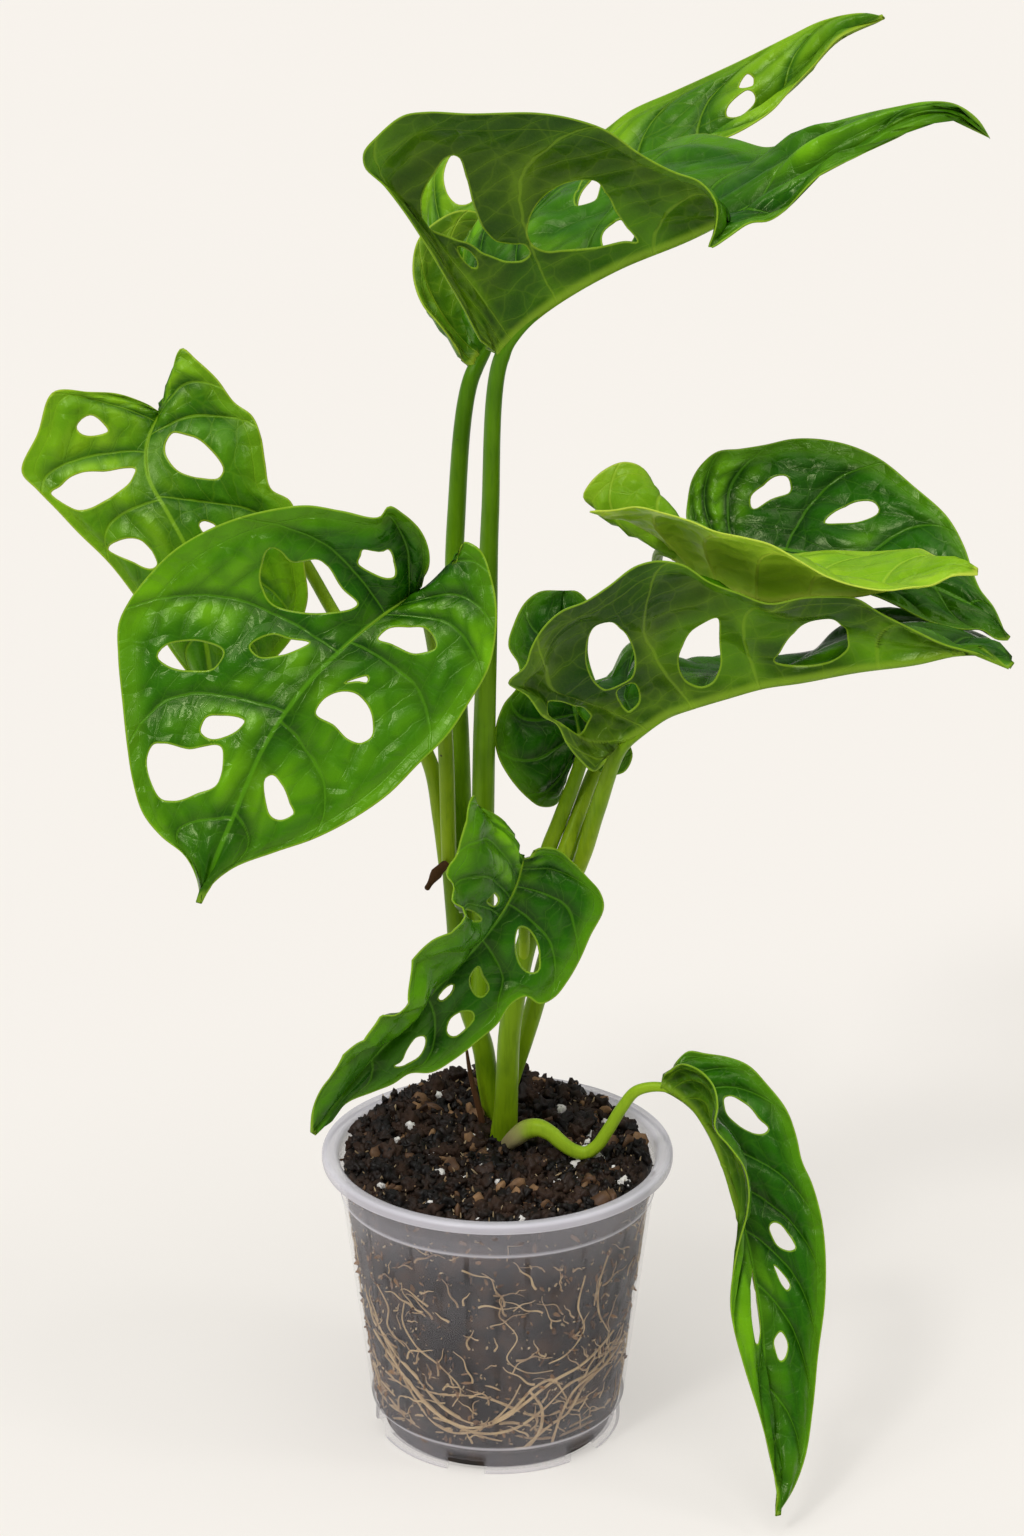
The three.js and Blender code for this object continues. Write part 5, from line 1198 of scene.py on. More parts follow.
def end_tree(tree, geometry, finish):
    """Realizes what the tree made, gives it its material and sends it out."""
    real = node(tree, "GeometryNodeRealizeInstances", {"Geometry": geometry})
    smooth = node(tree, "GeometryNodeSetShadeSmooth", {"Geometry": real})
    painted = node(tree, "GeometryNodeSetMaterial", {"Geometry": smooth, "Material": finish})
    node(tree, "NodeGroupOutput", {0: painted})


def run_tree(name, tree, start, **sizes):
    """Runs a tree on a start mesh and returns a new object with the plain mesh that it made."""
    made = link(name, start)
    modifier = made.modifiers.new("grow", "NODES")
    modifier.node_group = tree
    for socket in tree.interface.items_tree:
        if socket.in_out == "INPUT" and socket.name in sizes:
            modifier[socket.identifier] = sizes[socket.name]
    depsgraph = bpy.context.evaluated_depsgraph_get()
    mesh = bpy.data.meshes.new_from_object(made.evaluated_get(depsgraph), preserve_all_data_layers=True,
                                           depsgraph=depsgraph)
    made.modifiers.clear()
    made.data = mesh
    mesh.name = name
    return made


print("sockets that a size can have:", list(SOCKETS.values()))

# %% A tree that sweeps a stalk
CHANNEL_SHARPNESS = 8.0
tube_tree, given = new_tree("tube", Sides=20, Channel=0.0, Finish=None)
tree = tube_tree
curve = node(tree, "GeometryNodeMeshToCurve", {"Mesh": given["Geometry"]})
thick = node(tree, "GeometryNodeInputNamedAttribute", {"Name": "thick"}, data_type="FLOAT")
ring = node(tree, "GeometryNodeCurvePrimitiveCircle", {"Resolution": given["Sides"], "Radius": 1.0})
where = node(tree, "GeometryNodeInputPosition")
across = node(tree, "ShaderNodeSeparateXYZ", {0: where}).outputs["X"]
dent = maths(tree, "POWER", maths(tree, "MAXIMUM", across, 0.0), CHANNEL_SHARPNESS)
dent = times(tree, times(tree, dent, given["Channel"]), -1.0)
shift = node(tree, "ShaderNodeVectorMath", {0: where, "Scale": dent}, operation="SCALE")
ring = node(tree, "GeometryNodeSetPosition", {"Geometry": ring, "Offset": shift})
tube = node(tree, "GeometryNodeCurveToMesh", {"Curve": curve, "Profile Curve": ring, "Fill Caps": True,
            "Scale": thick.outputs["Attribute"]})
end_tree(tree, tube, given["Finish"])


def path_mesh(name, paths):
    """Paths, each an array of rows x, y, z, radius, tone in mm, as rows of joined points."""
    mesh = bpy.data.meshes.new(name)
    rows = np.vstack(paths)
    ends = np.cumsum([len(p) for p in paths])
    edges = [(i, i + 1) for i in range(len(rows) - 1) if i + 1 not in ends]
    mesh.from_pydata(rows[:, :3] * MM, edges, [])
    add_attribute(mesh, "thick", rows[:, 3] * MM)
    add_attribute(mesh, "tone", rows[:, 4])
    return mesh


print("tube tree:", len(tube_tree.nodes), "nodes")

# %% [markdown]
# ## Stems and leaf stalks
# Stalks are written as seen, like the leaves, with a radius at each point. Every leaf stalk starts inside
# the stem that it grows from and ends under the rib of its leaf, where it thins into the ridge below the
# blade. So there is no gap at either end, and the eye follows one green line from soil to leaf tip.

# %% Stalks as seen
# Rows of across, up, near and radius, from the bottom up
STEMS = {
    "stem_left": rows("""0 -8 -22 3.2, -1 8 -23 3.5, -3.2 22 -22 3.7, -5.2 35 -20 3.7, -9.5 47 -19 3.5,
        -12.8 62 -18.5 3.3, -14.5 80 -18 3.2, -16 97 -18 3.1"""),
    "stem_front": rows("""2 -10 -7 3.8, 2 2 -6 4.3, 2.8 12 -4.5 4, 3.3 24 -3 3.8, 4.2 40 -1.5 3.7,
        9.5 68 0 3.5, 14 82 -1 3.4, 18 93 -2 3.2"""),
    "stem_back": rows("""0.5 -6 -21 2.8, 1.5 10 -20 3, 4.5 23 -17.5 3.2, 8.9 36.5 -15 3.3,
        12.8 49 -13 3.3, 17.3 66 -11 3.2, 22.5 82 -9.5 3, 27 96 -8.5 2.8"""),
}
PETIOLES = {
    "petiole_left_front": rows("""-16.5 96 -16 2.6, -17 112 -15 2.7, -17.5 130 -12 2.7, -18.8 150 -6 2.6,
        -22.5 172 4 2.4, -27.4 187.8 15 2.2"""),
    "petiole_left_back": rows("""-17.5 96 -20 2.6, -19.5 112 -20 2.7, -23 131 -19 2.7, -29 143 -20 2.6,
        -40 158 -25 2.4, -55 181 -33 2.2, -66 200 -40 2.1, -77 216 -46 2, -87 234 -50 2, -98 247 -50 2,
        -106 251.5 -48.6 2, -113.6 251.6 -43.8 1.9"""),
    "petiole_top_front": rows("""-6.3 47 -17 3.2, -5.2 72 -15 3.9, -5.1 105 -13 3.9, -4.6 140 -12 3.8,
        -3.6 175 -11 3.4, -2.6 215 -10 3, -1.4 248 -8 2.9, -0.4 270.3 -3.4 2.9"""),
    "petiole_top_back": rows("""-9.5 58 -22 2.8, -11 80 -24 3.3, -12 110 -25 3.4, -13 140 -26 3.4,
        -14.6 175 -27 3.3, -14.2 213 -28 3.1, -12.6 245 -27 2.9, -10.7 265.6 -23.2 2.6"""),
    "petiole_right_front": rows("""27.5 95 -8 2.6, 30 102 -6 2.8, 34.3 116 -1 2.8, 37.8 127 3.2 2.7,
        41.1 136.4 7.1 2.4"""),
    "petiole_right_inner": rows("""15.5 92 -4 2.5, 17.2 101 -5.5 2.7, 21 111 -8.5 2.6, 25.8 123.5 -12 2.5,
        28.3 132.6 -14.4 2.4"""),
    "petiole_right_young": rows("""19 92 -3 2.4, 22.8 101 -5 2.5, 28 115 -12 2.5, 33.5 129 -23 2.4,
        42 141 -33 2.3, 50 153 -43 2.2, 54 167 -50 2.1, 55 182 -48 2, 55.5 194 -37 2,
        57.9 204.6 -14.5 2"""),
    "petiole_right_back": rows("""25.5 94 -11 2.4, 28 102 -14 2.5, 31 114 -22 2.5, 36 129 -35 2.4,
        44 142 -48 2.3, 52 156 -59 2.2, 58 170 -66 2.2, 61.5 183 -68 2.1, 66.5 196 -61 2.1,
        71.4 204.9 -46 2.1"""),
    "petiole_low_front": rows("""9 64 1 2, 9 76 6 2.1, 9 89 13 2.1, 8.5 98.8 20 2"""),
    "petiole_trailing": rows("""3.5 1 -1 2.6, 6.5 3.6 2.4 3.2, 10 6 4.6 3.4, 14 6.6 6.4 3.1,
        18 4.8 7.8 2.7, 22 1.4 9 2.5, 26 -1.2 9.6 2.4, 30 -2 10 2.3, 33.5 0 10.5 2.2, 38 6.2 11 2.1,
        42.5 13.4 11.8 2, 47.5 19.2 12.6 1.9, 52 21.8 13.2 1.8, 56 22.8 14 1.6"""),
}
DRY = {
    "dry_stub": rows("""-18 96.5 -12 1.5, -20.5 94 -9.5 1.7, -22.5 91 -8 1.5, -24 88.6 -7 1"""),
    "dry_sheath": rows("""-4 2 -16.5 1.1, -6 12 -15 1.1, -8.5 21.4 -14 1, -9.8 28 -13.5 0.8,
        -10.5 33 -13 0.5"""),
}
print("longest stalk:", max(len(s) for s in PETIOLES.values()), "stations")

# %% Stalk paths
STALK_STEP = 2.5
LED_ON_ROWS = 130
LED_ON = ((0.05, 0.85), (0.13, 0.6), (0.22, 0.42), (0.32, 0.25), (0.42, 0.1))  # w below the rib, thinness
ROUND_END = ((0.35, 0.9), (0.62, 0.68), (0.8, 0.35))  # in radii: how far out, and how thick there


def rounded_end(end, before):
    """Rows that close a path beyond its end, which comes after the row before."""
    out = (end[:3] - before[:3]) / np.linalg.norm(end[:3] - before[:3])
    return [np.append(end[:3] + out * end[3] * far, [end[3] * thin, end[4]]) for far, thin in ROUND_END]


def stalk_path(stations, swell=()):
    """A dense path through stations of [across, up, near, radius], with rounded ends."""
    stations = np.array(stations, float)
    real = seen(stations[:, :3])
    length = np.linalg.norm(np.diff(real, axis=0), axis=1).sum()
    share = np.linspace(0, 1, max(8, round(length / STALK_STEP)))
    radius = np.interp(share, np.linspace(0, 1, len(stations)), stations[:, 3])
    for at, width, gain in swell:
        radius = radius * (1 + gain * np.exp(-((share - at) / width) ** 2))
    rows = np.column_stack([line(real)(share), radius, share])
    return np.vstack([rounded_end(rows[0], rows[1])[::-1], rows, rounded_end(rows[-1], rows[-2])])


def under_rib(name, w, depth):
    """A point below the rib of a leaf, as a real point in mm."""
    surface = surfaces[name]
    spot, none = np.array([w]), np.array([0.0])
    return (surface.at(spot, none) - surface.normal(spot, none) * depth)[0]


def leaf_stalk_path(name, stations):
    """The path of a leaf stalk, led on below the rib of its leaf, where it thins out."""
    leaf = name.replace("petiole", "leaf")
    kept = np.array(stations[:-2], float)
    ends = [(w, kept[-1, 3] * thin) for w, thin in LED_ON]
    below = [under_rib(leaf, w, 0.65 * radius + 0.1) for w, radius in ends]
    centre = line(np.vstack([seen(kept[:, :3]), below]))
    share = np.linspace(0, 1, LED_ON_ROWS)
    radius = np.interp(share, centre.shares, np.append(kept[:, 3], [radius for _, radius in ends]))
    rows = np.column_stack([centre(share), radius, np.minimum(1, share / centre.shares[len(kept)])])
    return np.vstack([rounded_end(rows[0], rows[1])[::-1], rows])


print("the left stem has", len(stalk_path(STEMS["stem_left"])), "rows")

# %% [markdown]
# ## Stalk finish
# The stalks are satin and yellow-green, darker on the stems and near the leaves, with fine fibres along
# them. Near the leaves the darkening is partly the stalks' own colour and partly painted shade under the
# blades. Old sheath tissue at a joint is beige. The tone stored on the path tells the material where along
# the stalk a spot lies.

# %% Stalk materials
FIBRE_STRETCH = (900, 900, 60)
FRECKLE = (0.035, 0.03, 0.01)


def stalk_finish(name, low, high, shade, sheath=None, roughness=0.38):
    """A stalk that goes from the low to the high colour, with patches and fibres of the shade."""
    material, tree, shader = new_material(name)
    where = on_piece(tree)
    tone = attribute(tree, "tone")
    fibres = grain(tree, 1.0, 3, where, FIBRE_STRETCH)
    patches = ramp(tree, grain(tree, 45, 3, where), 0.35, 0.7)
    # Darker from the base to the leaf: partly the stalk's own colour, partly painted shade under the
    # blades.
    colour = blend_colours(tree, tone, low, high)
    colour = coat(tree, colour, shade, patches, 0.45)
    colour = coat(tree, colour, shade, ramp(tree, fibres, 0.45, 0.7), 0.25)
    if sheath:
        worn = ramp(tree, times_plus(tree, patches, 0.06, tone), 0.1, 0.24, 1, 0)
        colour = blend_colours(tree, worn, colour, sheath)
    freckle = node(tree, "ShaderNodeTexVoronoi", {"Vector": where, "Scale": 150.0})
    colour = coat(tree, colour, FRECKLE, ramp(tree, freckle.outputs["Distance"], 0.06, 0.1, 1, 0),
                  ramp(tree, grain(tree, 90, 1, where), 0.6, 0.66))
    dull = times_plus(tree, grain(tree, 200, 3, where), 0.25, roughness - 0.12)
    height = times_plus(tree, grain(tree, 300, 3, where), 0.5, fibres)
    fill(tree, shader.inputs, {"Base Color": colour, "Roughness": dull, "Specular IOR Level": 0.22,
                               "Specular Tint": PLANT_SHEEN, "Normal": bump(tree, height, 0.00018, 0.6)})
    return material


stem_skin = stalk_finish("stem_skin", (0.26, 0.42, 0.006), (0.14, 0.28, 0.004), (0.035, 0.11, 0.001))
pale_skin = stalk_finish("pale_skin", (0.30, 0.45, 0.012), (0.17, 0.32, 0.006), (0.06, 0.16, 0.003))
stalk_skin = stalk_finish("stalk_skin", (0.22, 0.41, 0.004), (0.08, 0.22, 0.002), (0.028, 0.11, 0.001))
sheathed_skin = stalk_finish("sheathed_skin", (0.36, 0.52, 0.02), (0.28, 0.46, 0.015), (0.15, 0.29, 0.01),
                             sheath=(0.42, 0.36, 0.17))
dry_skin = stalk_finish("dry_skin", (0.11, 0.045, 0.02), (0.07, 0.03, 0.014), (0.04, 0.018, 0.01),
                        roughness=0.75)
print("stalk finishes ready")

# %% Make stems and stalks
STALK_SIDES = 24
LEAF_STALK_CHANNEL = 0.12
SWELLS = {  # share of the length, width and gain of each thicker place
    "stem_front": [(0.1, 0.1, 0.12)],
    "petiole_trailing": [(0.12, 0.07, 0.1), (0.46, 0.05, 0.1)],
    "dry_stub": [(0.45, 0.12, 0.25), (0.8, 0.1, -0.3)],
}


def make_stalk(node_name, piece_name, path, channel, finish):
    settle(run_tree(piece_name, tube_tree, path_mesh(node_name, [path]), Sides=STALK_SIDES, Channel=channel,
                    Finish=finish), node_name)


for name, stations in {**STEMS, **DRY}.items():
    make_stalk(name, name.replace("dry", "husk").replace("stem", "cane"),
               stalk_path(stations, SWELLS.get(name, ())), 0.0, dry_skin if name in DRY else stem_skin)
for name, stations in PETIOLES.items():
    # The two top stalks, which rise among the leaves, take the darker finish, partly painted shade.
    finish = stalk_skin if "_top_" in name else pale_skin
    if name == "petiole_trailing":
        finish = sheathed_skin
    make_stalk(name, name.replace("petiole", "stalk"), leaf_stalk_path(name, stations), LEAF_STALK_CHANNEL,
               finish)
print("stalks:", len(STEMS) + len(PETIOLES), "husks:", len(DRY))

# %% [markdown]
# ## The pot
# A nursery pot is blown from thin clear plastic. A profile turned round the axis gives its wall, the fine
# ring below the rim, the rolled rim with its skirt and the stepped foot. Each row of the profile also
# carries how milky the plastic looks there, because thick or folded plastic scatters more light.

# %% Profile of the pot
WALL = 1.1
FOOT_RADIUS, FOOT_STEP_RADIUS, FOOT_HEIGHT = 42.7, 43.7, 8
WALL_TOP_RADIUS, WALL_TOP = 54.9, 100
RIM_RADIUS, RIM_SKIRT = 60, 3.2
RING_HEIGHT = POT_HEIGHT - 14.3
POT_SIDES = 144


def wall_at(z):
    """Outer radius of the wall at a height."""
    share = (z - FOOT_HEIGHT) / (WALL_TOP - FOOT_HEIGHT)
    return FOOT_STEP_RADIUS + share * (WALL_TOP_RADIUS - FOOT_STEP_RADIUS)


def wall_row(z, milkiness, out=0.0):
    """A row of the profile on the wall or out from it."""
    return wall_at(z) + out, z, milkiness


def rows_at(radius, height, *offsets):
    """Rows of the profile, written as how far out they are from a radius and above a height."""
    return [(radius + out, height + up, milkiness) for out, up, milkiness in offsets]


POT_PROFILE = [  # radius, height, milkiness
    # underside, foot and step
    (0, 0, 0.3), (30, 0, 0.3),
    *rows_at(FOOT_RADIUS, 0, (-1.2, 0, 0.4), (-0.35, 0.25, 0.6), (0, 0.9, 0.5), (0, 2.5, 0.1),
             (0, 8.8, 0.08), (0.1, 9.6, 0.5)),
    *rows_at(FOOT_STEP_RADIUS, 10, (-0.3, 0, 0.75), (0.1, 0.4, 0.75)),
    # outer wall and ring
    wall_row(11.5, 0.08), wall_row(24, 0.025), wall_row(50, 0.025), wall_row(76, 0.04),
    wall_row(RING_HEIGHT - 1, 0.07),
    *rows_at(wall_at(RING_HEIGHT), RING_HEIGHT, (0.25, -0.25, 0.5), (0.4, 0, 0.75), (0.25, 0.25, 0.5)),
    wall_row(RING_HEIGHT + 1, 0.2),
    # neck, skirt and rim
    *rows_at(WALL_TOP_RADIUS, POT_HEIGHT, (-0.1, -4.4, 0.2), (0.3, -2.6, 0.4), (1.2, -1.8, 0.5)),
    *rows_at(RIM_RADIUS, POT_HEIGHT, (-1.4, -1.5, 0.5), (-1.15, 0.2 - RIM_SKIRT, 0.5),
             (-0.6, -RIM_SKIRT, 0.8), (-0.1, 0.2 - RIM_SKIRT, 0.8), (0, -2.4, 0.5), (0, -1.1, 0.5),
             (-0.25, -0.4, 0.7), (-0.9, 0, 0.8), (-2.4, 0.05, 0.5)),
    *rows_at(WALL_TOP_RADIUS, POT_HEIGHT, (1.4, -0.1, 0.5), (0.2, -0.5, 0.8), (-0.7, -1.6, 0.6)),
    # inner wall and bottom
    wall_row(POT_HEIGHT - 6, 0.2, -WALL), wall_row(76, 0.045, -WALL), wall_row(50, 0.04, -WALL),
    wall_row(24, 0.04, -WALL), wall_row(9, 0.06, -WALL),
    *rows_at(FOOT_RADIUS, 0, (-1.7, 8, 0.3), (-1.9, 7, 0.14), (-1.9, 2.2, 0.14), (-2.6, 1.4, 0.3)),
    (30, 1.4, 0.3), (0, 1.4, 0.3),
]
print("profile:", len(POT_PROFILE), "rows")


# %% Turn the pot
def turned_mesh(name, profile, sides, shift=None):
    """A closed body turned round the axis from rows of radius, height and milkiness, its points shifted."""
    points, rows, values = [], [], []
    for r, z, value in profile:
        count = 1 if r == 0 else sides
        rows.append((len(points), count))
        for k in range(count):
            angle = 2 * math.pi * k / sides
            points.append((r * math.cos(angle), r * math.sin(angle), z))
            values.append(value)
    faces = []
    for (low, n), (high, m) in zip(rows[:-1], rows[1:]):
        for k in range(sides):
            a, b = low + k % n, low + (k + 1) % n
            c, d = high + (k + 1) % m, high + k % m
            faces.append(tuple(dict.fromkeys((a, b, c, d))))
    points = np.array([shift(*p) for p in points] if shift else points, float)
    mesh = bpy.data.meshes.new(name)
    mesh.from_pydata(points * MM, [], [f for f in faces if len(f) > 2])
    add_attribute(mesh, "milky", values)
    mesh.shade_smooth()
    return mesh


pot_start = turned_mesh("pot", POT_PROFILE, POT_SIDES)
print("pot:", len(pot_start.polygons), "faces before its holes")

# %% [markdown]
# ## Notches and air holes
# Six notches in the foot let water out, and columns of pin holes let air in. Both repeat round the pot, so
# Geometry Nodes make them: cutters are placed in rows, turned to face the axis and taken out of the wall
# with one Boolean. Every second row stands half a column further.

# %% Place what repeats round the pot
def cutters(tree, shape, columns, rows, radius, height, rise, turn):
    """Copies of a shape in rows and columns round the axis, each turned to face it."""
    spots = node(tree, "GeometryNodeMeshLine", {"Count": times(tree, columns, rows),
                 "Offset": (0, 0, 0)})
    index = node(tree, "GeometryNodeInputIndex")
    row = maths(tree, "FLOOR", maths(tree, "DIVIDE", index, columns))
    odd = times(tree, maths(tree, "MODULO", row, 2.0), 0.5)
    part = maths(tree, "DIVIDE", maths(tree, "ADD", maths(tree, "ADD", index, turn), odd), columns)
    angle = times(tree, part, math.tau)
    at = node(tree, "ShaderNodeCombineXYZ", {
        "X": times(tree, maths(tree, "COSINE", angle), radius),
        "Y": times(tree, maths(tree, "SINE", angle), radius),
        "Z": times_plus(tree, row, rise, height)})
    spots = node(tree, "GeometryNodeSetPosition", {"Geometry": spots, "Position": at})
    facing = node(tree, "ShaderNodeCombineXYZ", {"Z": angle})
    copies = node(tree, "GeometryNodeInstanceOnPoints", {"Points": spots, "Instance": shape,
                  "Rotation": facing})
    return node(tree, "GeometryNodeRealizeInstances", {"Geometry": copies})


PIN_CIRCLE, PIN_LENGTH, PIN_SIDES = 0.0495, 0.022, 10
LOWEST_PINS, PIN_RISE = 0.02, 0.0125
NOTCH_DEPTH = 0.008
QUARTER_STEP = 0.25

pot_tree, given = new_tree("pot_holes", Notches=6, NotchWidth=0.013, NotchHeight=0.005, Columns=16,
                           Rows=6, HoleRadius=0.00055, Finish=None)
tree = pot_tree
size = node(tree, "ShaderNodeCombineXYZ", {"X": NOTCH_DEPTH, "Y": given["NotchWidth"],
            "Z": times(tree, given["NotchHeight"], 2.0)})
box = node(tree, "GeometryNodeMeshCube", {"Size": size})
notches = cutters(tree, box, given["Notches"], 1.0, FOOT_RADIUS * MM, 0.0, 0.0, QUARTER_STEP)
pin = node(tree, "GeometryNodeMeshCylinder", {"Vertices": PIN_SIDES, "Radius": given["HoleRadius"],
           "Depth": PIN_LENGTH})
lying = node(tree, "GeometryNodeTransform", {"Geometry": pin, "Rotation": (0, math.pi / 2, 0)})
pins = cutters(tree, lying, given["Columns"], given["Rows"], PIN_CIRCLE, LOWEST_PINS, PIN_RISE, 0.0)
cut = node(tree, "GeometryNodeMeshBoolean", {"Mesh 1": given["Geometry"]}, operation="DIFFERENCE",
           solver="MANIFOLD")
for cutter in (notches, pins):
    fill(tree, cut.inputs, {"Mesh 2": cutter})
end_tree(tree, cut.outputs["Mesh"], given["Finish"])
print("pot tree:", len(pot_tree.nodes), "nodes")

# %% [markdown]
# ## Clear plastic
# The plastic is clear with a faint lilac haze. Real refraction through a thin wall moves hardly anything,
# so the wall is drawn as a thin veil: mostly see-through, milkier where the profile says so and where the
# wall is seen edge-on, with a hard clear gloss.

# %% Pot material
THICKEST_VEIL = 0.97
clear_plastic, tree, shader = new_material("clear_plastic")
grazing = node(tree, "ShaderNodeLayerWeight", {"Blend": 0.35}).outputs["Facing"]
smudges = ramp(tree, grain(tree, 30, 4), 0.4, 0.75)
veil = times_plus(tree, smudges, 0.02, attribute(tree, "milky"))
veil = times_plus(tree, maths(tree, "POWER", grazing, 2.0), 0.17, veil)
fill(tree, shader.inputs, {
    "Base Color": blend_colours(tree, smudges, (0.69, 0.67, 0.73), (0.76, 0.74, 0.79)),
    "Alpha": maths(tree, "MINIMUM", veil, THICKEST_VEIL),
    "Roughness": times_plus(tree, grain(tree, 60, 2), 0.15, 0.12),
    "Specular IOR Level": 0.32})
settle(run_tree("clear_pot", pot_tree, pot_start, Finish=clear_plastic), "pot")
print("pot cut and finished")

# %% [markdown]
# ## Soil
# The mix is dark and crumbly. A turned body fills the pot: its side nearly touches the wall, its top is
# heaped towards the back, and smooth noise makes lumps in both. Loose crumbs, white perlite, bark and pale
# fibres are strewn on it next, since a single surface never looks like separate grains.

# %% Body of soil
SOIL_SIDES = 200
SOIL_MIDDLE, SOIL_SLOPE, SOIL_HEAP = 102, 0.05, 0.0022
SOIL_RIM = POT_HEIGHT - 5
HEAP_RADIUS, HEAP_EASE = 46, 7  # the heap ends there and eases down to the rim over that width
SOIL_BOTTOM, SOIL_STEP = 1.9, 8
FRONT_ANGLE, FRONT_SPREAD = -1.5, 0.8


def lump(x, y):
    """Finger-wide waves of the top, in mm."""
    return (1.2 * math.sin(0.42 * x + 1.1) * math.cos(0.47 * y - 0.4) + 0.8 * math.sin(0.83 * x - 0.71 * y)
            + 0.6 * math.cos(1.27 * x + 0.9 * y + 2))


def soil_height(x, y):
    return SOIL_MIDDLE + SOIL_SLOPE * y + SOIL_HEAP * max(y - 0.3 * x, 0) ** 2 + lump(x, y)


def crumble(x, y, z, size):
    return noise.fractal(Vector((x, y, z)) / size, 0.6, 2.2, 3)


def shape_soil(x, y, z):
    """A point of the turned body, heaped where it is on top and dented where it is on the side."""
    r = math.hypot(x, y)
    if z >= POT_HEIGHT:
        height = soil_height(x, y) + 1.5 * crumble(x, y, 0, 6)
        share = 1 if r < HEAP_RADIUS else max(0.0, 1 - (r - HEAP_RADIUS) / HEAP_EASE)
        return x, y, max(SOIL_RIM + 0.4, SOIL_RIM + (height - SOIL_RIM) * (0.55 + 0.45 * share))
    if r > 5:
        dent = (0.5 if z > SOIL_STEP else 0.15) + 1.3 * max(0.0, crumble(x, y, z, 7) + 0.35) * (z > 9)
        if z < SOIL_STEP:
            front = math.exp(-((math.atan2(y, x) - FRONT_ANGLE) / FRONT_SPREAD) ** 4)
            dent += (1 - front) * 0.9 * min(1.0, (8.5 - z) / 3)
        return x * (r - dent) / r, y * (r - dent) / r, z
    return x, y, z


profile = [(0, SOIL_BOTTOM, 0), (20, SOIL_BOTTOM, 0), (FOOT_RADIUS - 2.3, SOIL_BOTTOM, 0),
           (FOOT_RADIUS - 2.0, 4, 0), (FOOT_RADIUS - 2.0, 7.4, 0)]
profile += [wall_row(z, 0, -WALL) for z in np.linspace(9, SOIL_RIM, 42)]
profile += [(r, POT_HEIGHT, 0) for r in np.append(np.linspace(51.8, 4, 40), 0)]
soil_mesh = turned_mesh("soil", profile, SOIL_SIDES, shape_soil)
print("soil:", len(soil_mesh.polygons), "faces")

# %% [markdown]
# Potting mix is nearly black when moist, with brown lumps and tiny pale flecks. The colour is mixed from
# noise at three scales, and the same noise lifts the surface a little.

# %% Soil materials
def earth(name, dark, brown, fleck, amount):
    """A crumbly finish, dark to brown, with that amount of small flecks."""
    material, tree, shader = new_material(name)
    where = on_piece(tree)
    coarse = ramp(tree, grain(tree, 110, 4, where), 0.42, 0.72)
    colour = blend_colours(tree, coarse, dark, brown)
    colour = blend_colours(tree, maths(tree, "POWER", attribute(tree, "tone"), 4.0), colour, brown)
    chips = node(tree, "ShaderNodeTexVoronoi", {"Vector": where, "Scale": 520.0})
    colour = coat(tree, colour, fleck, ramp(tree, chips.outputs["Distance"], 0.1, 0.22, 1, 0),
                  ramp(tree, grain(tree, 260, 2, where), 0.72 - amount, 0.76 - amount))
    height = times_plus(tree, grain(tree, 600, 3, where), 0.5, coarse)
    fill(tree, shader.inputs, {
        "Base Color": colour, "Roughness": times_plus(tree, coarse, 0.25, 0.5),
        "Specular IOR Level": 0.25, "Normal": bump(tree, height, 0.0003, 0.6)})
    return material


moist_soil = earth("moist_soil", (0.007, 0.005, 0.004), (0.055, 0.031, 0.019), (0.30, 0.20, 0.11), 0.14)
crumb_soil = earth("crumb_soil", (0.003, 0.002, 0.0015), (0.036, 0.017, 0.009), (0.30, 0.19, 0.10), 0.10)
bark_chip = earth("bark_chip", (0.08, 0.04, 0.02), (0.30, 0.17, 0.08), (0.42, 0.28, 0.15), 0.1)
pale_fibre = earth("pale_fibre", (0.30, 0.21, 0.11), (0.52, 0.40, 0.24), (0.62, 0.52, 0.36), 0.1)
perlite_white = earth("perlite_white", (0.72, 0.69, 0.65), (0.86, 0.84, 0.80), (0.45, 0.40, 0.33), 0.05)
soil_mesh.materials.append(moist_soil)
settle(link("soil_body", soil_mesh), "soil")
print("earth finishes ready")

# %% [markdown]
# ## Strewn grains
# Crumbs, perlite, bark and fibres are the same idea: a rough little stone, copied many times over the soil
# with random turns and sizes. One tree does it. It scatters points with a fixed seed, roughens a low
# icosphere with noise in five different ways, squeezes it to the asked proportions and stores a random tone
# on every copy.

# %% A tree that strews grains
STONE_KINDS = 5
TURN_SEED, SIZE_SEED, TONE_SEED = 5, 6, 7
strew_tree, given = new_tree("strew", Density=1000.0, Smallest=0.001, Largest=0.003, Length=1.0,
                             Flatness=1.0, Roughness=0.35, Fineness=2, Seed=1, Finish=None)
tree = strew_tree
points = node(tree, "GeometryNodeDistributePointsOnFaces", {"Mesh": given["Geometry"],
              "Density": given["Density"], "Seed": given["Seed"]})
stone = node(tree, "GeometryNodeMeshIcoSphere", {"Radius": 1.0, "Subdivisions": given["Fineness"]})
stones = node(tree, "GeometryNodeJoinGeometry")
for number in range(STONE_KINDS):
    where = node(tree, "GeometryNodeInputPosition")
    rough = node(tree, "ShaderNodeTexNoise", {"Vector": where, "W": 3.7 * number, "Scale": 1.5,
                 "Detail": 2.0}, noise_dimensions="4D")
    push = times(tree, times_plus(tree, rough, 2.0, -1.0), given["Roughness"])
    push = times(tree, push, 2.0)
    shift = node(tree, "ShaderNodeVectorMath", {0: where, "Scale": push}, operation="SCALE")
    shaped = node(tree, "GeometryNodeSetPosition", {"Geometry": stone, "Offset": shift})
    shaped = node(tree, "GeometryNodeGeometryToInstance", {"Geometry": shaped})
    fill(tree, stones.inputs, {0: shaped})
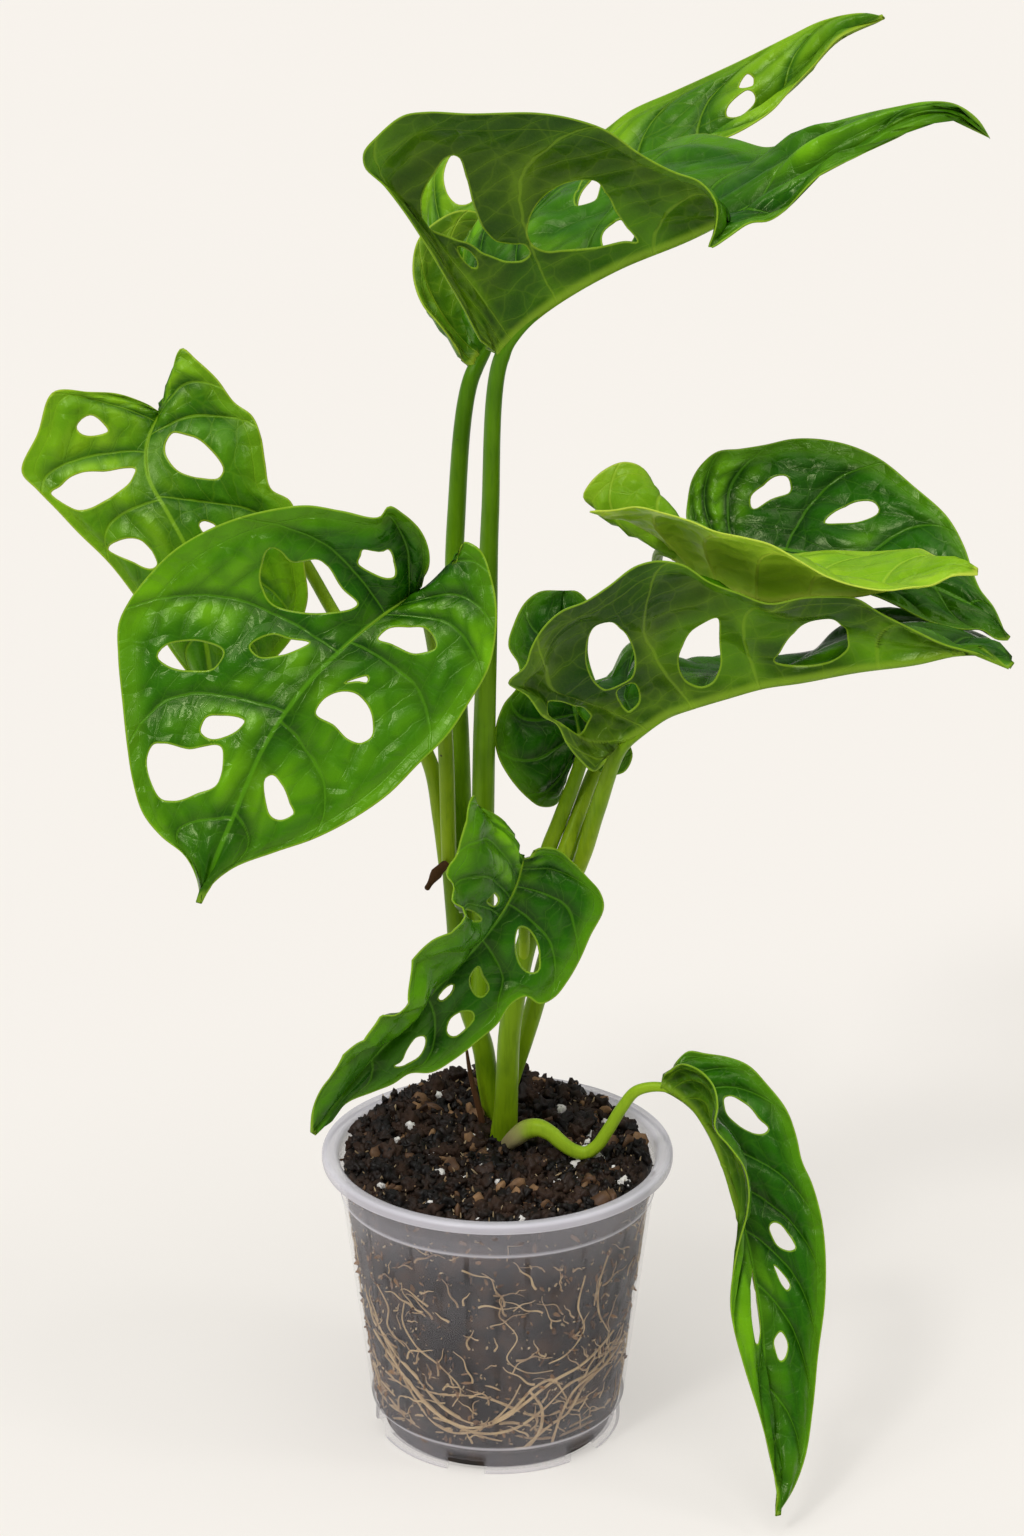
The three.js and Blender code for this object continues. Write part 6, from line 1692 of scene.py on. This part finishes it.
turn = node(tree, "FunctionNodeRandomValue", {"Min": (0, 0, 0), "Max": (math.tau,) * 3,
            "Seed": TURN_SEED}, data_type="FLOAT_VECTOR")
span = node(tree, "FunctionNodeRandomValue", {2: given["Smallest"], 3: given["Largest"],
            "Seed": SIZE_SEED}, data_type="FLOAT").outputs[1]
squeeze = node(tree, "ShaderNodeCombineXYZ", {
    "X": times(tree, span, given["Length"]), "Y": span,
    "Z": times(tree, span, given["Flatness"])})
copies = node(tree, "GeometryNodeInstanceOnPoints", {"Points": points.outputs["Points"],
              "Instance": stones, "Pick Instance": True, "Rotation": turn.outputs[0], "Scale": squeeze})
tone = node(tree, "FunctionNodeRandomValue", {2: 0.0, 3: 1.0, "Seed": TONE_SEED}, data_type="FLOAT")
toned = node(tree, "GeometryNodeStoreNamedAttribute", {"Geometry": copies, "Name": "tone",
             "Value": tone.outputs[1]}, data_type="FLOAT", domain="INSTANCE")
end_tree(tree, toned, given["Finish"])
print("strewing tree:", len(strew_tree.nodes), "nodes")

# %% [markdown]
# The grains need a ground to lie on: a copy of the faces of the soil on top, or of those at the wall. It is
# gone once the tree has run, since only the grains come out.

# %% Strew the soil
FIRST_SEED = 11


def soil_patch(name, choose):
    """The faces of the soil whose middle choose(x, y, z) takes, as a start for strewing."""
    points = np.empty(len(soil_mesh.vertices) * 3)
    soil_mesh.vertices.foreach_get("co", points)
    points = points.reshape(-1, 3) / MM
    faces = [f.vertices[:] for f in soil_mesh.polygons if choose(*points[list(f.vertices)].mean(0))]
    mesh = bpy.data.meshes.new(name)
    mesh.from_pydata(points * MM, [], faces)
    return mesh


def on_top(x, y, z):
    return z > 97.4 and math.hypot(x, y) < 50.5


def at_wall(x, y, z):
    return 10 < z < 99 and math.hypot(x, y) > wall_at(z) - 4


STREWN = [  # piece, where, grains a square metre, smallest, largest, length, flatness, roughness, fineness
    ("crumbs", on_top, 190000, 0.0005, 0.0016, 1.2, 0.8, 0.75, 2, crumb_soil),
    ("clods", on_top, 34000, 0.0016, 0.0034, 1.15, 0.8, 0.8, 3, crumb_soil),
    ("perlite", on_top, 5600, 0.0006, 0.0023, 1.1, 0.85, 0.45, 3, perlite_white),
    ("bark", on_top, 9000, 0.0010, 0.0036, 1.4, 0.45, 0.5, 2, bark_chip),
    ("splinters", on_top, 30000, 0.00022, 0.00048, 6.5, 0.7, 0.3, 2, pale_fibre),
    ("wall_chips", at_wall, 26000, 0.0003, 0.0009, 2.4, 0.5, 0.35, 2, bark_chip),
    ("wall_specks", at_wall, 30000, 0.0002, 0.0005, 1.8, 0.6, 0.3, 2, pale_fibre),
]
for seed, row in enumerate(STREWN, FIRST_SEED):
    name, choose, density, smallest, largest, length, flatness, roughness, fineness, finish = row
    piece = run_tree(name, strew_tree, soil_patch(name, choose), Density=float(density), Smallest=smallest,
                     Largest=largest, Length=length, Flatness=flatness, Roughness=roughness,
                     Fineness=fineness, Seed=seed, Finish=finish)
    settle(piece, slot="soil")
    print(name, len(piece.data.polygons), "faces")

# %% [markdown]
# ## Roots
# Roots reach the wall, turn and circle along it, and gather low down. They are tubes like the stalks, on
# paths that lie against the plastic. The strands that one sees first, at the front, are written down one
# by one, as a turn from the front and a height.

# %% Roots at the front
ROOT_SEED = 7
STRAND_ROWS = 90
LOWEST_ROOT, HIGHEST_ROOT = 9.8, 92
chance = np.random.default_rng(ROOT_SEED)
FRONT_STRANDS = [  # stations of turn from the front in degrees and height, with the radius
    ([(-62, 49), (-50, 40), (-38, 34), (-24, 24), (-8, 20), (6, 25), (16, 34), (24, 36), (32, 27)], 0.62),
    ([(-66, 43), (-52, 37), (-42, 30), (-30, 22), (-14, 18), (2, 22), (12, 28), (24, 35), (40, 39),
      (58, 46)], 0.58),
    ([(-58, 36), (-44, 32), (-34, 25), (-22, 19), (-6, 16), (8, 18), (20, 24), (32, 32), (46, 34),
      (60, 40)], 0.5),
    ([(-70, 55), (-60, 47), (-50, 36), (-40, 25), (-30, 17), (-18, 15), (-4, 20), (6, 29), (10, 36)], 0.46),
    ([(14, 33), (20, 25), (20, 17), (14, 10), (8, 9.5)], 0.6),
    ([(26, 9.5), (30, 21), (36, 29), (46, 33)], 0.62),
    ([(12, 9.5), (24, 17), (34, 21), (42, 30), (56, 34), (72, 39)], 0.6),
    ([(-40, 63), (-42, 55), (-36, 47), (-24, 41), (-16, 33), (-20, 26)], 0.34),
    ([(36, 75), (34, 63), (38, 53), (30, 45), (22, 43)], 0.36),
    ([(48, 81), (44, 69), (46, 57), (54, 47)], 0.4),
    ([(-56, 65), (-50, 58), (-52, 50), (-42, 45)], 0.34),
    ([(2, 63), (8, 55), (4, 47), (12, 41), (24, 40)], 0.26),
]


def strand(angle, z, radius, tone, depth):
    """A root along the wall, that deep in the soil, as rows of x, y, z, radius and tone."""
    z = np.clip(z, LOWEST_ROOT, HIGHEST_ROOT)
    r = wall_at(z) - WALL - radius - depth
    return np.column_stack([r * np.cos(angle), r * np.sin(angle), z, radius, np.full(len(angle), tone)])


def front_strand(stations, radius):
    places = line([(turn, z, 0) for turn, z in stations])(np.linspace(0, 1, STRAND_ROWS))
    thickness = radius * (0.45 + 0.55 * np.sin(np.pi * np.linspace(0.12, 0.97, STRAND_ROWS)) ** 0.6)
    return strand(np.radians(places[:, 0] - 90), places[:, 1], thickness, chance.uniform(0.65, 1),
                  0.12 + 0.25 * chance.uniform())


roots = [front_strand(stations, radius) for stations, radius in FRONT_STRANDS]
print("strands at the front:", len(roots))

# %% [markdown]
# The rest follows two rules. Long wavy strands circle the lower third, and many thin side roots wander up
# between the lumps, each with a heading that bends as it goes. A fixed seed keeps every run the same.

# %% Roots all round
CIRCLING, CIRCLING_ROWS, CIRCLING_TURN = 22, 110, 16.4
WANDERING, WANDERING_ROWS, WANDERING_RADIUS = 340, 24, 50


def circling_root(number):
    share = np.linspace(0, 1, CIRCLING_ROWS)
    angle = (math.radians(CIRCLING_TURN * number + chance.uniform(-10, 10))
             + math.radians(chance.uniform(60, 130)) * share * (-1) ** number)
    z = (chance.uniform(12, 34) + 5 * np.sin(chance.uniform(1.5, 3.5) * angle + chance.uniform(0, 6))
         + 1.6 * np.sin(chance.uniform(5, 8) * angle + chance.uniform(0, 6))
         + 6 * np.abs(share - 0.5) ** 1.5)
    radius = chance.uniform(0.35, 0.7) * (0.35 + 0.65 * np.sin(np.pi * share) ** 0.5)
    return strand(angle, z, radius, chance.uniform(0.2, 0.9), 0.5 + 0.5 * chance.uniform())


def wandering_root():
    share = np.linspace(0, 1, WANDERING_ROWS)
    lean = chance.uniform(-1, 1)
    length = chance.uniform(4, 17)
    curl = chance.uniform(-1.6, 1.6)
    heading = (lean * 1.5 + curl * share
               + 0.35 * np.sin(chance.uniform(6, 12) * share + chance.uniform(0, 6)))
    step = length / WANDERING_ROWS
    angle = chance.uniform(0, math.tau) + np.cumsum(np.sin(heading)) * step / WANDERING_RADIUS
    z = chance.uniform(11, 86) + np.cumsum(np.cos(heading)) * step
    radius = chance.uniform(0.22, 0.48) * (1 - 0.7 * share)
    return strand(angle, z, radius, chance.uniform(0.25, 1), 0.08 + 0.1 * chance.uniform())


roots += [circling_root(number) for number in range(CIRCLING)]
roots += [wandering_root() for _ in range(WANDERING)]
print("roots:", len(roots))

# %% Root material and piece
ROOT_SIDES = 8
root_skin, tree, shader = new_material("root_skin")
stain = ramp(tree, grain(tree, 160, 4), 0.45, 0.75)
colour = blend_colours(tree, attribute(tree, "tone"), (0.26, 0.155, 0.075), (0.56, 0.40, 0.21))
fill(tree, shader.inputs, {
    "Base Color": coat(tree, colour, (0.14, 0.075, 0.035), stain, 0.55),
    "Roughness": times_plus(tree, stain, 0.2, 0.55),
    "Normal": bump(tree, grain(tree, 900, 3), 0.0002, 0.8)})
settle(run_tree("root_mesh", tube_tree, path_mesh("roots", roots), Sides=ROOT_SIDES, Channel=0.0,
                Finish=root_skin), "roots")
print("roots made")
